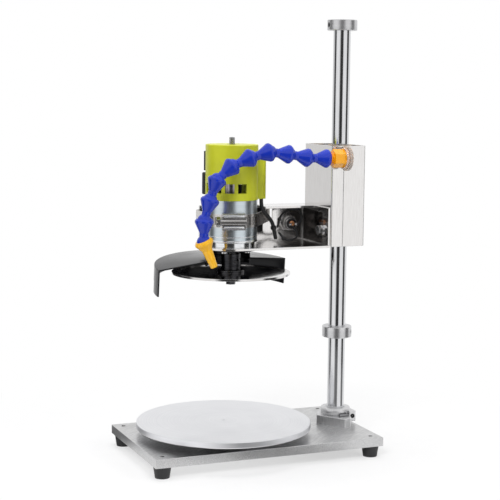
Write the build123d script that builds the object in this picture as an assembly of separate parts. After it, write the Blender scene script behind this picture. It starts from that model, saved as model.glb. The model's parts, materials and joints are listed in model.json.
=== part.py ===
from build123d import *
from math import cos, radians, sin, sqrt, tan
import os

# Bench-top wet grinding sharpener: a motor-driven flat disc on a post, over a hand-turned table.
# Millimetres, +Z up. The origin is on the bench, under the middle of the base plate.
# X runs along the base plate from the turntable to the post, and Y points to the back.

# ---- Fits and small clearances ----
RUN_FIT = 0.03          # radial, shaft in bush
SLIDE_FIT = 0.05        # radial, ball in socket and collar on post
SOFT_GAP = 0.3          # soft parts to their neighbours

# ---- Base ----
PLATE_X = 273.0
PLATE_Y = 163.0
PLATE_T = 10.0
FOOT_H = 13.0
FOOT_TOP_R = 10.0
FOOT_TOE_R = 8.0
FOOT_INSET = 11.0       # foot and screw centre from the plate's edges
FOOT_SCREW_R = 2.5
FOOT_SCREW_SINK = 1.5   # screw end under the plate's top face
FOOT_HEAD_R = 4.5
FOOT_HEAD_H = 4.0
FOOT_POCKET = 6.0       # depth of the screw's pocket in the foot
PLATE_TOP = FOOT_H + PLATE_T

# ---- Turntable ----
TABLE_R = 100.0
TABLE_T = 7.2
TABLE_GAP = 8.0         # plate to underside of table
TABLE_X = -27.5
HUB_R = 21.0
HUB_SPIGOT_R = 14.0     # hub's spigot in the table's recess
HUB_SPIGOT_H = 3.0
STUD_R = 6.0
STUD_FLANGE_R = 9.0
STUD_FLANGE_H = 3.0
STUD_END_GAP = 0.6
WASHER_T = 1.5
CENTRE_DOT_R = 1.5

# ---- Post ----
POST_R = 10.0
POST_X = 117.0
POST_Y = 4.0
POST_TOP = 496.0
COLLAR_R = 17.25
TOP_COLLAR_H = 12.0
STOP_COLLAR_H = 13.0
STOP_COLLAR_Z = 126.5
SET_SCREW_R = 3.0
SET_SCREW_L = 7.0
SOCKET_AF = 3.0
SOCKET_DEPTH = 3.0
FLANGE_R = 22.5
FLANGE_T = 10.5
FLANGE_BOSS_H = 19.0
LUG_REACH = 28.0
LUG_LEFT = 21.0
LUG_RIGHT = 1.0
FLANGE_EDGE_GAP = 0.5   # flange's cut side to the plate's end
LUG_TURN = -51.0        # direction of the clamp lug, degrees
SLIT_W = 2.0
SLIT_TURN = -78.0
FLANGE_SCREW_TURN = -24.0
FLANGE_SCREW_R = 2.5
FLANGE_SCREW_CIRCLE = 17.0
FLANGE_SCREW_GRIP = 8.0

# ---- Carriage on the post ----
CAR_X0 = 90.5
CAR_X1 = 133.0
CAR_Y0 = -30.0
CAR_Y1 = 43.0
CAR_Z0 = 237.5
CAR_Z1 = 353.0
SHEET_T = 1.5
SEAM_X = 105.7          # joint between the two front strips
SEAM_GAP = 0.4
BLOCK_Y0 = -12.0
BUSH_R = 13.0
BUSH_L = 30.0
BUSH_FLANGE_R = 14.2
BUSH_FLANGE_T = 2.0
BUSH_END = 0.5          # bush flange inside the carriage's end
BORE_RELIEF_R = 13.5
SHELL_SCREW_R = 2.0
SHELL_SCREW_L = 9.0
SHELL_SCREW_HEAD_R = 3.6
SHELL_SCREW_TOP = 10.0  # screws under the block's top
SHELL_SCREW_LOW = 64.0
LIFT_UP = 130.0
LIFT_DOWN = 97.0

# ---- Lock knob at the back of the carriage ----
KNOB_R = 12.0
KNOB_H = 13.0
KNOB_Z = 295.0
KNOB_STUD_R = 4.0
KNOB_GAP = 6.0          # knob to the carriage's back

# ---- Arm bracket and motor seat ----
ARM_T = 2.5
ARM_Z0 = 236.5
ARM_Z1 = 282.0
ARM_LIP_Y = 10.0        # front edge of the top flange
ARM_LIP_X = 26.0        # left end of the top flange
ARM_WEB_X0 = -42.5
ARM_TAIL_X = 128.0      # end of the web behind the carriage
ARM_TAIL_Z0 = 241.0
ARM_TAIL_Z1 = 279.0
ARM_NOSE_R = 34.0
ARM_BOLT_Y = -10.8
ARM_BOLT_Z = 255.0
BACK_BOLT_X = (98.0, 124.0)
BACK_BOLT_Z = 260.0
BOLT_R = 3.0
BOLT_AF = 10.0
BOLT_HEAD_H = 4.0
BOLT_L = 14.0
BOLT_WASHER_R = 6.2
BOLT_WASHER_T = 1.2

# ---- Motor ----
MOTOR_X = -18.5
MOTOR_Y = POST_Y
CAN_R = 29.2
CAN_T = 1.8
COVER_R = 29.8
COVER_T = 2.0
NOSE_R = 26.8
NOSE_H = 5.5
CAN_TOP = 292.0
COVER_TOP = 354.0
SHAFT_R = 4.0
SHAFT_STUB_R = 3.15
SHAFT_TOP = 362.0
BEARING_R = 11.0
BEARING_H = 7.0
BEARING_SEAT_T = 2.5
ARMATURE_R = 21.5
AIR_GAP = 0.8
MAGNET_ARC = 130.0
ARMATURE_Z0 = 257.0
ARMATURE_H = 30.0
COMMUTATOR_R = 10.5
COMMUTATOR_Z0 = 296.0
COMMUTATOR_H = 16.0
FAN_R = 20.0
FAN_Z0 = 249.5
FAN_H = 5.0
BRUSH_TURN = 140.0
BRUSH_W = 6.0
BRUSH_H = 9.0
BRUSH_OUT = 23.0
VENT_TURN = 187.6
VENT_STEP = 28.3
VENT_W = 10.4
VENT_Z0 = 300.4
LEAD_BOSS_REACH = 36.5
LEAD_BOSS_R = 5.0
LEAD_BOSS_TOP = 345.0
MOTOR_SCREW_R = 2.0
MOTOR_SCREW_CIRCLE = 20.0
MOTOR_SCREW_HEAD_R = 3.5
MOTOR_SCREW_HEAD_H = 2.6

# ---- Strap clamp and rubber cradle ----
BAND_Z0 = 262.0
BAND_H = 15.0
BAND_T = 0.8
BAND_SLOT_X = 46.0
BAND_LEFT_X = -43.6
BAND_CORNER_R = 1.0
CRADLE_Z0 = 253.0
CRADLE_Z1 = 278.0
CRADLE_X1 = 40.0
CRADLE_FOOT_X = 44.0
CRADLE_FOOT_H = 3.2
HOUSING_TURN = -17.0
HOUSING_L = 26.0
HOUSING_H = 19.0
HOUSING_D = 8.5
WORM_R = 4.2
WORM_HEAD_R = 5.6
WORM_HEAD_L = 4.5
WORM_OVERHANG = 2.0

# ---- Spindle and disc ----
DISC_R = 67.5
DISC_T = 2.4
DISC_Z0 = 207.3
DISC_RECESS = 0.8
DISC_BAND = 7.0
ARBOR_R = 10.8
ARBOR_TOP = 231.0
HUB_FLANGE_R = 15.5
HUB_FLANGE_T = 3.2
DISC_BOLT_R = 3.0
DISC_BOLT_AF = 10.0
DISC_BOLT_HEAD = 10.0
DISC_BOLT_WASHER_R = 9.0
DISC_BOLT_WASHER_T = 2.2

# ---- Guard ----
GUARD_R = 87.2
GUARD_T = 1.6
GUARD_NECK_R = 30.0
GUARD_TILT = 6.4        # front edge down, degrees
GUARD_RIM_Z = 213.0     # rim plane where it meets the spindle's line
GUARD_DISH = 8.0        # neck end of the plate over the rim
GUARD_SKIRT = 16.0
GUARD_TIP_SKIRT = 29.0
GUARD_LEFT = 181.0      # angles of the two open ends, round the spindle
GUARD_RIGHT = 21.0
GUARD_TIP_ARC = 15.0

# ---- Power socket, lead and wires ----
JACK_X = 68.0
JACK_Z = 259.5
JACK_R = 6.8
JACK_FRONT_Y = 30.0
JACK_FLANGE_R = 9.0
JACK_FLANGE_T = 2.0
JACK_BORE_R = 2.8
JACK_BORE_DEPTH = 10.0
JACK_NUT_AF = 17.0
JACK_NUT_T = 3.0
JACK_TAB_L = 5.0
LEAD_R = 2.2
WIRE_R = 1.3
TIE_T = 1.2
TIE_H = 3.0

# ---- Coolant hose ----
HOSE_Y = -45.0
HOSE_Z = 339.5
HOSE_X = 76.2           # first ball joint
HOSE_PITCH = 23.3
HOSE_TURNS = (177.5, 170.0, 173.8, 194.4, 202.7, 219.9, 249.7, 254.0, 269.5)
NOZZLE_TURN = 293.9
BALL_R = 8.0
BALL_CUT = 5.5
MOUTH = 2.6
SHELL_R = 10.4
HOSE_NECK_R = 5.0
HOSE_BORE_R = 3.5
NOZZLE_L = 30.0
NOZZLE_TIP_R = 4.0
NOZZLE_BORE_R = 2.0
FITTING_HEX_AF = 18.0
FITTING_HEX_X0 = 83.5
FITTING_HEX_L = 13.0
FITTING_RING_R = 10.2
FITTING_RING_L = 3.0
SEAL_R = 14.0
SEAL_T = 3.5
TAB_R = 12.0
PORT_R = 6.5
PORT_BORE_R = 4.3
PORT_BORE_DEPTH = 8.0


# ---- Values worked out from those above ----
TABLE_Z0 = PLATE_TOP + TABLE_GAP
TABLE_TOP = TABLE_Z0 + TABLE_T
BLOCK_X0 = CAR_X0 + SHEET_T
BLOCK_X1 = CAR_X1 - SHEET_T
BLOCK_Y1 = CAR_Y1 - SHEET_T
BLOCK_Z0 = CAR_Z0 + BUSH_END + BUSH_FLANGE_T
BLOCK_Z1 = CAR_Z1 - BUSH_END - BUSH_FLANGE_T
NOSE_Z0 = ARM_Z0 + ARM_T
CAN_Z0 = NOSE_Z0 + NOSE_H
WEB_Y0 = CAR_Y1
WEB_Y1 = CAR_Y1 + ARM_T
LEAD_X = MOTOR_X + LEAD_BOSS_REACH
SEAL_X0 = FITTING_HEX_X0 + FITTING_HEX_L + FITTING_RING_L
TAB_X0 = SEAL_X0 + SEAL_T
DISC_TOP = DISC_Z0 + DISC_T
HUB_FLANGE_TOP = DISC_TOP - DISC_RECESS + HUB_FLANGE_T


# ---- Small helpers ----
def rod(radius, x, y, z0, z1):
    """Upright cylinder between two heights."""
    return Pos(x, y, (z0 + z1) / 2) * Cylinder(radius, z1 - z0)


def rod_x(radius, x0, x1, y, z):
    """Cylinder along X."""
    return Pos((x0 + x1) / 2, y, z) * Rot(0, 90, 0) * Cylinder(radius, x1 - x0)


def rod_y(radius, x, y0, y1, z):
    """Cylinder along Y."""
    return Pos(x, (y0 + y1) / 2, z) * Rot(90, 0, 0) * Cylinder(radius, y1 - y0)


def block(x0, x1, y0, y1, z0, z1):
    """Box between two corners."""
    return Pos((x0 + x1) / 2, (y0 + y1) / 2, (z0 + z1) / 2) * Box(x1 - x0, y1 - y0, z1 - z0)


def ring(outer, inner, x, y, z0, z1):
    """Upright tube between two heights."""
    return rod(outer, x, y, z0, z1) - rod(inner, x, y, z0 - 1, z1 + 1)


def hex_prism(across_flats, height):
    """Hexagon bar on Z, from 0 upwards."""
    return extrude(RegularPolygon(across_flats / sqrt(3), 6), height)


def cone(r0, r1, x, y, z0, z1):
    """Upright cone from radius r0 at z0 to r1 at z1."""
    return Pos(x, y, (z0 + z1) / 2) * Cone(r0, r1, z1 - z0)


def turned(points):
    """Solid of revolution round Z from (radius, height) points."""
    face = make_face(Polyline(*[(r, 0, z) for r, z in points], close=True))
    return revolve(face, Axis.Z)


def about(x, y, angle):
    """Frame on an upright axis, turned round it."""
    return Pos(x, y, 0) * Rot(0, 0, angle)


def set_screw(start):
    """Headless screw on +X, its flat end at the given radius."""
    body = rod_x(SET_SCREW_R, start, start + SET_SCREW_L, 0, 0)
    key = hex_prism(SOCKET_AF, SOCKET_DEPTH + 1)
    key = Pos(start + SET_SCREW_L - SOCKET_DEPTH, 0, 0) * Rot(0, 90, 0) * key
    return body - key


def corner_sites():
    """Plan positions of the four feet and their screws."""
    x = PLATE_X / 2 - FOOT_INSET
    y = PLATE_Y / 2 - FOOT_INSET
    return [(-x, -y), (x, -y), (x, y), (-x, y)]


# ---- Base ----
def base_plate():
    plate = block(-PLATE_X / 2, PLATE_X / 2, -PLATE_Y / 2, PLATE_Y / 2, FOOT_H, PLATE_TOP)
    plate = chamfer(plate.edges().group_by(Axis.Z)[-1], 0.5)
    for x, y in corner_sites():
        plate -= rod(FOOT_SCREW_R, x, y, FOOT_H - 1, PLATE_TOP + 1)
    plate -= rod(STUD_R, TABLE_X, 0, FOOT_H - 1, PLATE_TOP + 1)
    plate -= rod(STUD_FLANGE_R, TABLE_X, 0, FOOT_H - 1, FOOT_H + STUD_FLANGE_H)
    for x, y in flange_screw_sites():
        plate -= rod(FLANGE_SCREW_R, x, y, FOOT_H - 1, PLATE_TOP + 1)
        plate -= cone(2 * FLANGE_SCREW_R, FLANGE_SCREW_R, x, y, FOOT_H, FOOT_H + FLANGE_SCREW_R)
    return plate


def rubber_feet():
    feet = Part()
    for x, y in corner_sites():
        foot = cone(FOOT_TOE_R, FOOT_TOP_R, x, y, 0, FOOT_H)
        foot -= rod(FOOT_HEAD_R, x, y, -1, FOOT_POCKET)
        foot -= rod(FOOT_SCREW_R, x, y, 0, FOOT_H + 1)
        feet += foot
    return feet


def foot_screws():
    screws = Part()
    for x, y in corner_sites():
        shank = rod(FOOT_SCREW_R, x, y, FOOT_POCKET, PLATE_TOP - FOOT_SCREW_SINK)
        screws += shank + rod(FOOT_HEAD_R, x, y, FOOT_POCKET - FOOT_HEAD_H, FOOT_POCKET)
    return screws


def pivot_stud():
    stud = rod(STUD_R, TABLE_X, 0, FOOT_H, TABLE_Z0 - STUD_END_GAP)
    stud = chamfer(stud.edges().group_by(Axis.Z)[-1], 0.8)
    return stud + rod(STUD_FLANGE_R, TABLE_X, 0, FOOT_H, FOOT_H + STUD_FLANGE_H)


def thrust_washer():
    return ring(HUB_R - 2, STUD_R + 0.2, TABLE_X, 0, PLATE_TOP, PLATE_TOP + WASHER_T)


def turntable_hub():
    hub = rod(HUB_R, TABLE_X, 0, PLATE_TOP + WASHER_T, TABLE_Z0)
    hub += rod(HUB_SPIGOT_R, TABLE_X, 0, TABLE_Z0, TABLE_Z0 + HUB_SPIGOT_H)
    return hub - rod(STUD_R + RUN_FIT, TABLE_X, 0, PLATE_TOP, TABLE_Z0)


def turntable():
    table = rod(TABLE_R, TABLE_X, 0, TABLE_Z0, TABLE_TOP)
    table = chamfer(table.edges().group_by(Axis.Z)[-1], 0.8)
    table = chamfer(table.edges().group_by(Axis.Z)[0], 0.8)
    table -= rod(HUB_SPIGOT_R, TABLE_X, 0, TABLE_Z0 - 1, TABLE_Z0 + HUB_SPIGOT_H)
    return table - Pos(TABLE_X, 0, TABLE_TOP) * Sphere(CENTRE_DOT_R)


# ---- Post ----
def flange_screw_sites():
    spots = []
    for turn in (100, 180, 260):
        a = radians(turn + LUG_TURN)
        spots.append((POST_X + FLANGE_SCREW_CIRCLE * cos(a), POST_Y + FLANGE_SCREW_CIRCLE * sin(a)))
    return spots


def column_rod():
    post = rod(POST_R, POST_X, POST_Y, PLATE_TOP, POST_TOP)
    return chamfer(post.edges().group_by(Axis.Z)[-1], 1.0)


def column_flange():
    z0, z1 = PLATE_TOP, PLATE_TOP + FLANGE_T
    lug = block(0, LUG_REACH, -LUG_LEFT, LUG_RIGHT, z0, z1)
    lug = fillet(lug.edges().filter_by(Axis.Z).group_by(Axis.X)[-1], 4.0)
    body = about(POST_X, POST_Y, LUG_TURN) * lug
    body += rod(FLANGE_R, POST_X, POST_Y, z0, z1)
    body += rod(COLLAR_R, POST_X, POST_Y, z0, z0 + FLANGE_BOSS_H)
    body -= rod(POST_R, POST_X, POST_Y, z0 - 1, z0 + FLANGE_BOSS_H + 1)
    slit = block(0, LUG_REACH + 4, -SLIT_W / 2, SLIT_W / 2, z0 - 1, z0 + FLANGE_BOSS_H + 1)
    body -= about(POST_X, POST_Y, SLIT_TURN) * slit
    edge = PLATE_X / 2 - FLANGE_EDGE_GAP
    body -= block(edge, edge + 2 * FLANGE_R, -PLATE_Y, PLATE_Y, z0 - 1, z0 + FLANGE_BOSS_H + 1)
    hole = rod_x(SET_SCREW_R, POST_R - 1, FLANGE_R + 10, 0, z0 + FLANGE_T / 2)
    body -= about(POST_X, POST_Y, FLANGE_SCREW_TURN) * hole
    for x, y in flange_screw_sites():
        body -= rod(FLANGE_SCREW_R, x, y, z0 - 1, z0 + FLANGE_SCREW_GRIP)
    return body


def flange_screws():
    screws = Part()
    for x, y in flange_screw_sites():
        screw = rod(FLANGE_SCREW_R, x, y, FOOT_H, PLATE_TOP + FLANGE_SCREW_GRIP)
        screws += screw + cone(2 * FLANGE_SCREW_R, FLANGE_SCREW_R, x, y, FOOT_H, FOOT_H + FLANGE_SCREW_R)
    return screws


def clamp_screws():
    """One set screw in the post's flange and one in the top collar."""
    low = about(POST_X, POST_Y, FLANGE_SCREW_TURN) * Pos(0, 0, PLATE_TOP + FLANGE_T / 2) * set_screw(POST_R)
    high = about(POST_X, POST_Y, 180) * Pos(0, 0, POST_TOP - TOP_COLLAR_H / 2) * set_screw(POST_R)
    return low + high


def collar(z0, height, bore, screw_turn):
    body = ring(COLLAR_R, bore, POST_X, POST_Y, z0, z0 + height)
    body = chamfer(body.edges().filter_by(GeomType.CIRCLE).sort_by(SortBy.RADIUS)[-2:], 0.6)
    hole = rod_x(SET_SCREW_R, bore - 1, COLLAR_R + 1, 0, z0 + height / 2)
    return body - about(POST_X, POST_Y, screw_turn) * hole


def top_collar():
    return collar(POST_TOP - TOP_COLLAR_H, TOP_COLLAR_H, POST_R, 180)


def stop_collar():
    return collar(STOP_COLLAR_Z, STOP_COLLAR_H, POST_R + SLIDE_FIT, -35)


def stop_collar_screw():
    middle = STOP_COLLAR_Z + STOP_COLLAR_H / 2
    return about(POST_X, POST_Y, -35) * Pos(0, 0, middle) * set_screw(POST_R + SLIDE_FIT)


# ---- Carriage ----
def guide_bushings():
    low = rod(BUSH_R, POST_X, POST_Y, BLOCK_Z0, BLOCK_Z0 + BUSH_L)
    low += rod(BUSH_FLANGE_R, POST_X, POST_Y, BLOCK_Z0 - BUSH_FLANGE_T, BLOCK_Z0)
    high = rod(BUSH_R, POST_X, POST_Y, BLOCK_Z1 - BUSH_L, BLOCK_Z1)
    high += rod(BUSH_FLANGE_R, POST_X, POST_Y, BLOCK_Z1, BLOCK_Z1 + BUSH_FLANGE_T)
    return low + high - rod(POST_R + RUN_FIT, POST_X, POST_Y, CAR_Z0, CAR_Z1)


def shell_screw_sites():
    heights = (BLOCK_Z1 - SHELL_SCREW_TOP, BLOCK_Z1 - SHELL_SCREW_LOW)
    return [(x, z) for x in (BLOCK_X0 + 5, BLOCK_X1 - 5) for z in heights]


def bearing_block():
    body = block(BLOCK_X0, BLOCK_X1, BLOCK_Y0, BLOCK_Y1, BLOCK_Z0, BLOCK_Z1)
    body -= rod(BUSH_R + RUN_FIT, POST_X, POST_Y, BLOCK_Z0 - 1, BLOCK_Z1 + 1)
    relief0, relief1 = BLOCK_Z0 + BUSH_L + 1, BLOCK_Z1 - BUSH_L - 1
    body -= rod(BORE_RELIEF_R, POST_X, POST_Y, relief0, relief1)
    body -= rod_y(KNOB_STUD_R + RUN_FIT, POST_X, POST_Y, CAR_Y1, KNOB_Z)
    for x, z in shell_screw_sites():
        body -= rod_y(SHELL_SCREW_R, x, CAR_Y1 - SHELL_SCREW_L, CAR_Y1, z)
    body -= rod_x(BOLT_R, CAR_X0, CAR_X0 - ARM_T + BOLT_L, ARM_BOLT_Y, ARM_BOLT_Z)
    for x in BACK_BOLT_X:
        body -= rod_y(BOLT_R, x, WEB_Y1 - BOLT_L, CAR_Y1, BACK_BOLT_Z)
    return body


def folded_shell(x_wall, x_edge):
    """Sheet folded round a block: a side wall and its front and back flanges."""
    x0, x1 = min(x_wall, x_edge), max(x_wall, x_edge)
    outside = block(x0, x1, CAR_Y0, CAR_Y1, CAR_Z0, CAR_Z1)
    corner = Axis.X
    edges = outside.edges().filter_by(Axis.Z).group_by(corner)[0 if x_wall < x_edge else -1]
    outside = fillet(edges, SHEET_T)
    inner0 = x0 + SHEET_T if x_wall < x_edge else x0 - 1
    inner1 = x1 + 1 if x_wall < x_edge else x1 - SHEET_T
    inside = block(inner0, inner1, CAR_Y0 + SHEET_T, CAR_Y1 - SHEET_T, CAR_Z0 - 1, CAR_Z1 + 1)
    return outside - inside


def shell_holes(shell):
    """Screw, bolt and knob holes that both shells may have."""
    for x, z in shell_screw_sites():
        shell -= rod_y(SHELL_SCREW_R, x, CAR_Y1 - 3, CAR_Y1 + 1, z)
    for x in BACK_BOLT_X:
        shell -= rod_y(BOLT_R, x, CAR_Y1 - 3, CAR_Y1 + 1, BACK_BOLT_Z)
    return shell - rod_y(KNOB_STUD_R + 0.5, POST_X, CAR_Y1 - 3, CAR_Y1 + 1, KNOB_Z)


def carriage_left_shell():
    shell = shell_holes(folded_shell(CAR_X0, SEAM_X - SEAM_GAP))
    notch = TAB_R + SEAM_GAP
    shell -= block(TAB_X0 - SEAM_GAP, SEAM_X, CAR_Y0 - 1, CAR_Y0 + 3, HOSE_Z - notch, HOSE_Z + notch)
    return shell - rod_x(BOLT_R, CAR_X0 - 1, CAR_X0 + 3, ARM_BOLT_Y, ARM_BOLT_Z)


def carriage_right_shell():
    shell = shell_holes(folded_shell(CAR_X1, SEAM_X))
    tab = block(TAB_X0, TAB_X0 + SHEET_T, HOSE_Y, CAR_Y0 + SHEET_T, HOSE_Z - TAB_R, HOSE_Z + TAB_R)
    tab += rod_x(TAB_R, TAB_X0, TAB_X0 + SHEET_T, HOSE_Y, HOSE_Z)
    foot = block(TAB_X0, SEAM_X + 2, CAR_Y0, CAR_Y0 + SHEET_T, HOSE_Z - TAB_R, HOSE_Z + TAB_R)
    tab += foot
    return shell + tab - rod_x(PORT_R, TAB_X0 - 1, TAB_X0 + SHEET_T + 1, HOSE_Y, HOSE_Z)


def shell_screws():
    screws = Part()
    for x, z in shell_screw_sites():
        shank = rod_y(SHELL_SCREW_R, x, CAR_Y1 - SHELL_SCREW_L, CAR_Y1, z)
        screws += shank + rod_y(SHELL_SCREW_HEAD_R, x, CAR_Y1, CAR_Y1 + 1.8, z)
    return screws


def lock_knob():
    y0 = CAR_Y1 + KNOB_GAP
    knob = rod_y(KNOB_R, POST_X, y0, y0 + KNOB_H, KNOB_Z)
    knob = fillet(knob.edges().filter_by(GeomType.CIRCLE), 1.5)
    for i in range(8):
        a = radians(45 * i + 22.5)
        x, z = POST_X + (KNOB_R + 1.6) * cos(a), KNOB_Z + (KNOB_R + 1.6) * sin(a)
        knob -= rod_y(3.2, x, y0 - 1, y0 + KNOB_H + 1, z)
    boss = rod_y(7.0, POST_X, CAR_Y1 + SOFT_GAP, y0 + 2, KNOB_Z)
    stud = rod_y(KNOB_STUD_R, POST_X, POST_Y + POST_R + SLIDE_FIT, y0 + 1, KNOB_Z)
    return knob + boss + stud


# ---- Arm bracket ----
def motor_screw_sites():
    spots = []
    for i in range(4):
        a = radians(45 + 90 * i)
        spots.append((MOTOR_X + MOTOR_SCREW_CIRCLE * cos(a), MOTOR_Y + MOTOR_SCREW_CIRCLE * sin(a)))
    return spots


def arm_bracket():
    """Folded bracket: web, motor shelf, stiffening lip and a tab on the carriage's side."""
    web = block(ARM_WEB_X0, CAR_X0, WEB_Y0, WEB_Y1, ARM_Z0, ARM_Z1)
    web += block(CAR_X0, ARM_TAIL_X, WEB_Y0, WEB_Y1, ARM_TAIL_Z0, ARM_TAIL_Z1)
    shelf = block(MOTOR_X, CAR_X0, CAR_Y0, WEB_Y1, ARM_Z0, NOSE_Z0)
    shelf += block(ARM_WEB_X0, MOTOR_X, MOTOR_Y, WEB_Y1, ARM_Z0, NOSE_Z0)
    shelf += rod(ARM_NOSE_R, MOTOR_X, MOTOR_Y, ARM_Z0, NOSE_Z0)
    lip = block(ARM_LIP_X, CAR_X0, ARM_LIP_Y, WEB_Y1, ARM_Z1 - ARM_T, ARM_Z1)
    tab = block(CAR_X0 - ARM_T, CAR_X0, CAR_Y0 + 2, WEB_Y1, ARM_Z0, ARM_Z1)
    body = web + shelf + lip + tab
    body -= rod(SHAFT_R + 8, MOTOR_X, MOTOR_Y, ARM_Z0 - 1, NOSE_Z0 + 1)
    for x, y in motor_screw_sites():
        body -= rod(MOTOR_SCREW_R, x, y, ARM_Z0 - 1, NOSE_Z0 + 1)
    slot_z0, slot_z1 = BAND_Z0 - 1, BAND_Z0 + BAND_H + 1
    body -= block(BAND_SLOT_X - 2.5, BAND_SLOT_X + 3, WEB_Y0 - 1, WEB_Y1 + 1, slot_z0, slot_z1)
    body -= rod_y(JACK_R - 1, JACK_X, WEB_Y0 - 1, WEB_Y1 + 1, JACK_Z)
    body -= rod_x(BOLT_R, CAR_X0 - ARM_T - 1, CAR_X0 + 1, ARM_BOLT_Y, ARM_BOLT_Z)
    for x in BACK_BOLT_X:
        body -= rod_y(BOLT_R, x, WEB_Y0 - 1, WEB_Y1 + 1, BACK_BOLT_Z)
    return body


def bolt_frames():
    """Frames whose -Z runs into the work, with Z = 0 on the sheet's outside."""
    side = Pos(CAR_X0 - ARM_T, ARM_BOLT_Y, ARM_BOLT_Z) * Rot(0, -90, 0)
    back = [Pos(x, WEB_Y1, BACK_BOLT_Z) * Rot(-90, 0, 0) for x in BACK_BOLT_X]
    return [side] + back


def arm_bolts():
    bolts = Part()
    for frame in bolt_frames():
        head = Pos(0, 0, BOLT_WASHER_T) * hex_prism(BOLT_AF, BOLT_HEAD_H)
        bolts += frame * (head + rod(BOLT_R, 0, 0, -BOLT_L, BOLT_WASHER_T))
    return bolts


def arm_washers():
    washers = Part()
    for frame in bolt_frames():
        washers += frame * ring(BOLT_WASHER_R, BOLT_R, 0, 0, 0, BOLT_WASHER_T)
    return washers


# ---- Motor ----
def motor_end_bell():
    bell = rod(NOSE_R, MOTOR_X, MOTOR_Y, NOSE_Z0, CAN_Z0)
    bell += rod(BEARING_R + BEARING_SEAT_T, MOTOR_X, MOTOR_Y, CAN_Z0, NOSE_Z0 + BEARING_SEAT_T + BEARING_H)
    bell -= rod(SHAFT_R + 2, MOTOR_X, MOTOR_Y, NOSE_Z0 - 1, CAN_Z0)
    seat0 = NOSE_Z0 + BEARING_SEAT_T
    bell -= rod(BEARING_R, MOTOR_X, MOTOR_Y, seat0, seat0 + BEARING_H + 1)
    for x, y in motor_screw_sites():
        bell -= rod(MOTOR_SCREW_R, x, y, NOSE_Z0 - 1, CAN_Z0 - 1)
    return bell


def motor_can():
    can = rod(CAN_R, MOTOR_X, MOTOR_Y, CAN_Z0, CAN_TOP)
    can = fillet(can.edges().group_by(Axis.Z)[0], 1.2)
    can -= rod(CAN_R - CAN_T, MOTOR_X, MOTOR_Y, CAN_Z0 + CAN_T, CAN_TOP + 1)
    return can - rod(BEARING_R + BEARING_SEAT_T, MOTOR_X, MOTOR_Y, CAN_Z0 - 1, CAN_TOP)


def field_magnets():
    outer = CAN_R - CAN_T
    inner = ARMATURE_R + AIR_GAP
    magnets = Part()
    for turn in (0, 180):
        tube = ring(outer, inner, 0, 0, ARMATURE_Z0 - 2, ARMATURE_Z0 + ARMATURE_H + 2)
        far = 3 * outer
        half = radians(MAGNET_ARC / 2)
        wedge = make_face(Polyline((0, 0), (far * cos(half), far * sin(half)),
                                   (far, 0), (far * cos(half), -far * sin(half)), close=True))
        wedge = Pos(0, 0, ARMATURE_Z0 - 3) * extrude(wedge, ARMATURE_H + 6)
        magnets += about(MOTOR_X, MOTOR_Y, turn) * (tube & wedge)
    return magnets


def bearing_heights():
    return [NOSE_Z0 + BEARING_SEAT_T, COVER_TOP - COVER_T - BEARING_H - 1]


def motor_bearings():
    bearings = Part()
    for z in bearing_heights():
        bearings += ring(BEARING_R, SHAFT_R + RUN_FIT, MOTOR_X, MOTOR_Y, z, z + BEARING_H)
    return bearings


def motor_cover():
    """Plastic end housing with the top bearing seat, brush boxes, vents and lead boss."""
    cover = rod(COVER_R, MOTOR_X, MOTOR_Y, CAN_TOP, COVER_TOP)
    cover = fillet(cover.edges().group_by(Axis.Z)[-1], 0.8)
    boss = rod(LEAD_BOSS_R, LEAD_X, MOTOR_Y, CAN_TOP, LEAD_BOSS_TOP)
    boss = fillet(boss.edges().group_by(Axis.Z)[-1], 2.0)
    half = LEAD_BOSS_R
    boss += block(MOTOR_X + COVER_R - 3, LEAD_X, MOTOR_Y - half, MOTOR_Y + half, CAN_TOP, LEAD_BOSS_TOP - 2)
    cover += boss
    cover -= rod(COVER_R - COVER_T, MOTOR_X, MOTOR_Y, CAN_TOP - 1, COVER_TOP - COVER_T)
    cover -= rod(LEAD_R, LEAD_X, MOTOR_Y, CAN_TOP - 1, CAN_TOP + 14)
    seat0 = bearing_heights()[1]
    cover += ring(BEARING_R + BEARING_SEAT_T, BEARING_R, MOTOR_X, MOTOR_Y, seat0, COVER_TOP - COVER_T)
    cover -= rod(SHAFT_R + 1.5, MOTOR_X, MOTOR_Y, COVER_TOP - COVER_T - 1, COVER_TOP + 1)
    cover += brush_boxes()
    for side in (0, 180):
        for i in range(4):
            inner, half = COVER_R - COVER_T - 2, VENT_W / 2
            window = block(inner, COVER_R + 2, -half, half, VENT_Z0, VENT_Z0 + VENT_W)
            cover -= about(MOTOR_X, MOTOR_Y, VENT_TURN + side + VENT_STEP * i) * window
    return cover


def brush_box_frame():
    return [(about(MOTOR_X, MOTOR_Y, BRUSH_TURN + side)) for side in (0, 180)]


def brush_boxes():
    middle = COMMUTATOR_Z0 + COMMUTATOR_H / 2
    half_w, half_h = BRUSH_W / 2, BRUSH_H / 2
    boxes = Part()
    for frame in brush_box_frame():
        side, low, high = half_w + 2, middle - half_h - 2, middle + half_h + 2
        outer = block(COMMUTATOR_R + 3, COVER_R - 1, -side, side, low, high)
        inner = block(COMMUTATOR_R, BRUSH_OUT, -half_w, half_w, middle - half_h, middle + half_h)
        boxes += frame * (outer - inner)
    return boxes


def carbon_brushes():
    middle = COMMUTATOR_Z0 + COMMUTATOR_H / 2
    half_w, half_h = BRUSH_W / 2, BRUSH_H / 2
    brushes = Part()
    for frame in brush_box_frame():
        bar = block(COMMUTATOR_R - 1, BRUSH_OUT, -half_w, half_w, middle - half_h, middle + half_h)
        brushes += frame * (bar - rod(COMMUTATOR_R + SLIDE_FIT, 0, 0, middle - 20, middle + 20))
    return brushes


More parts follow.
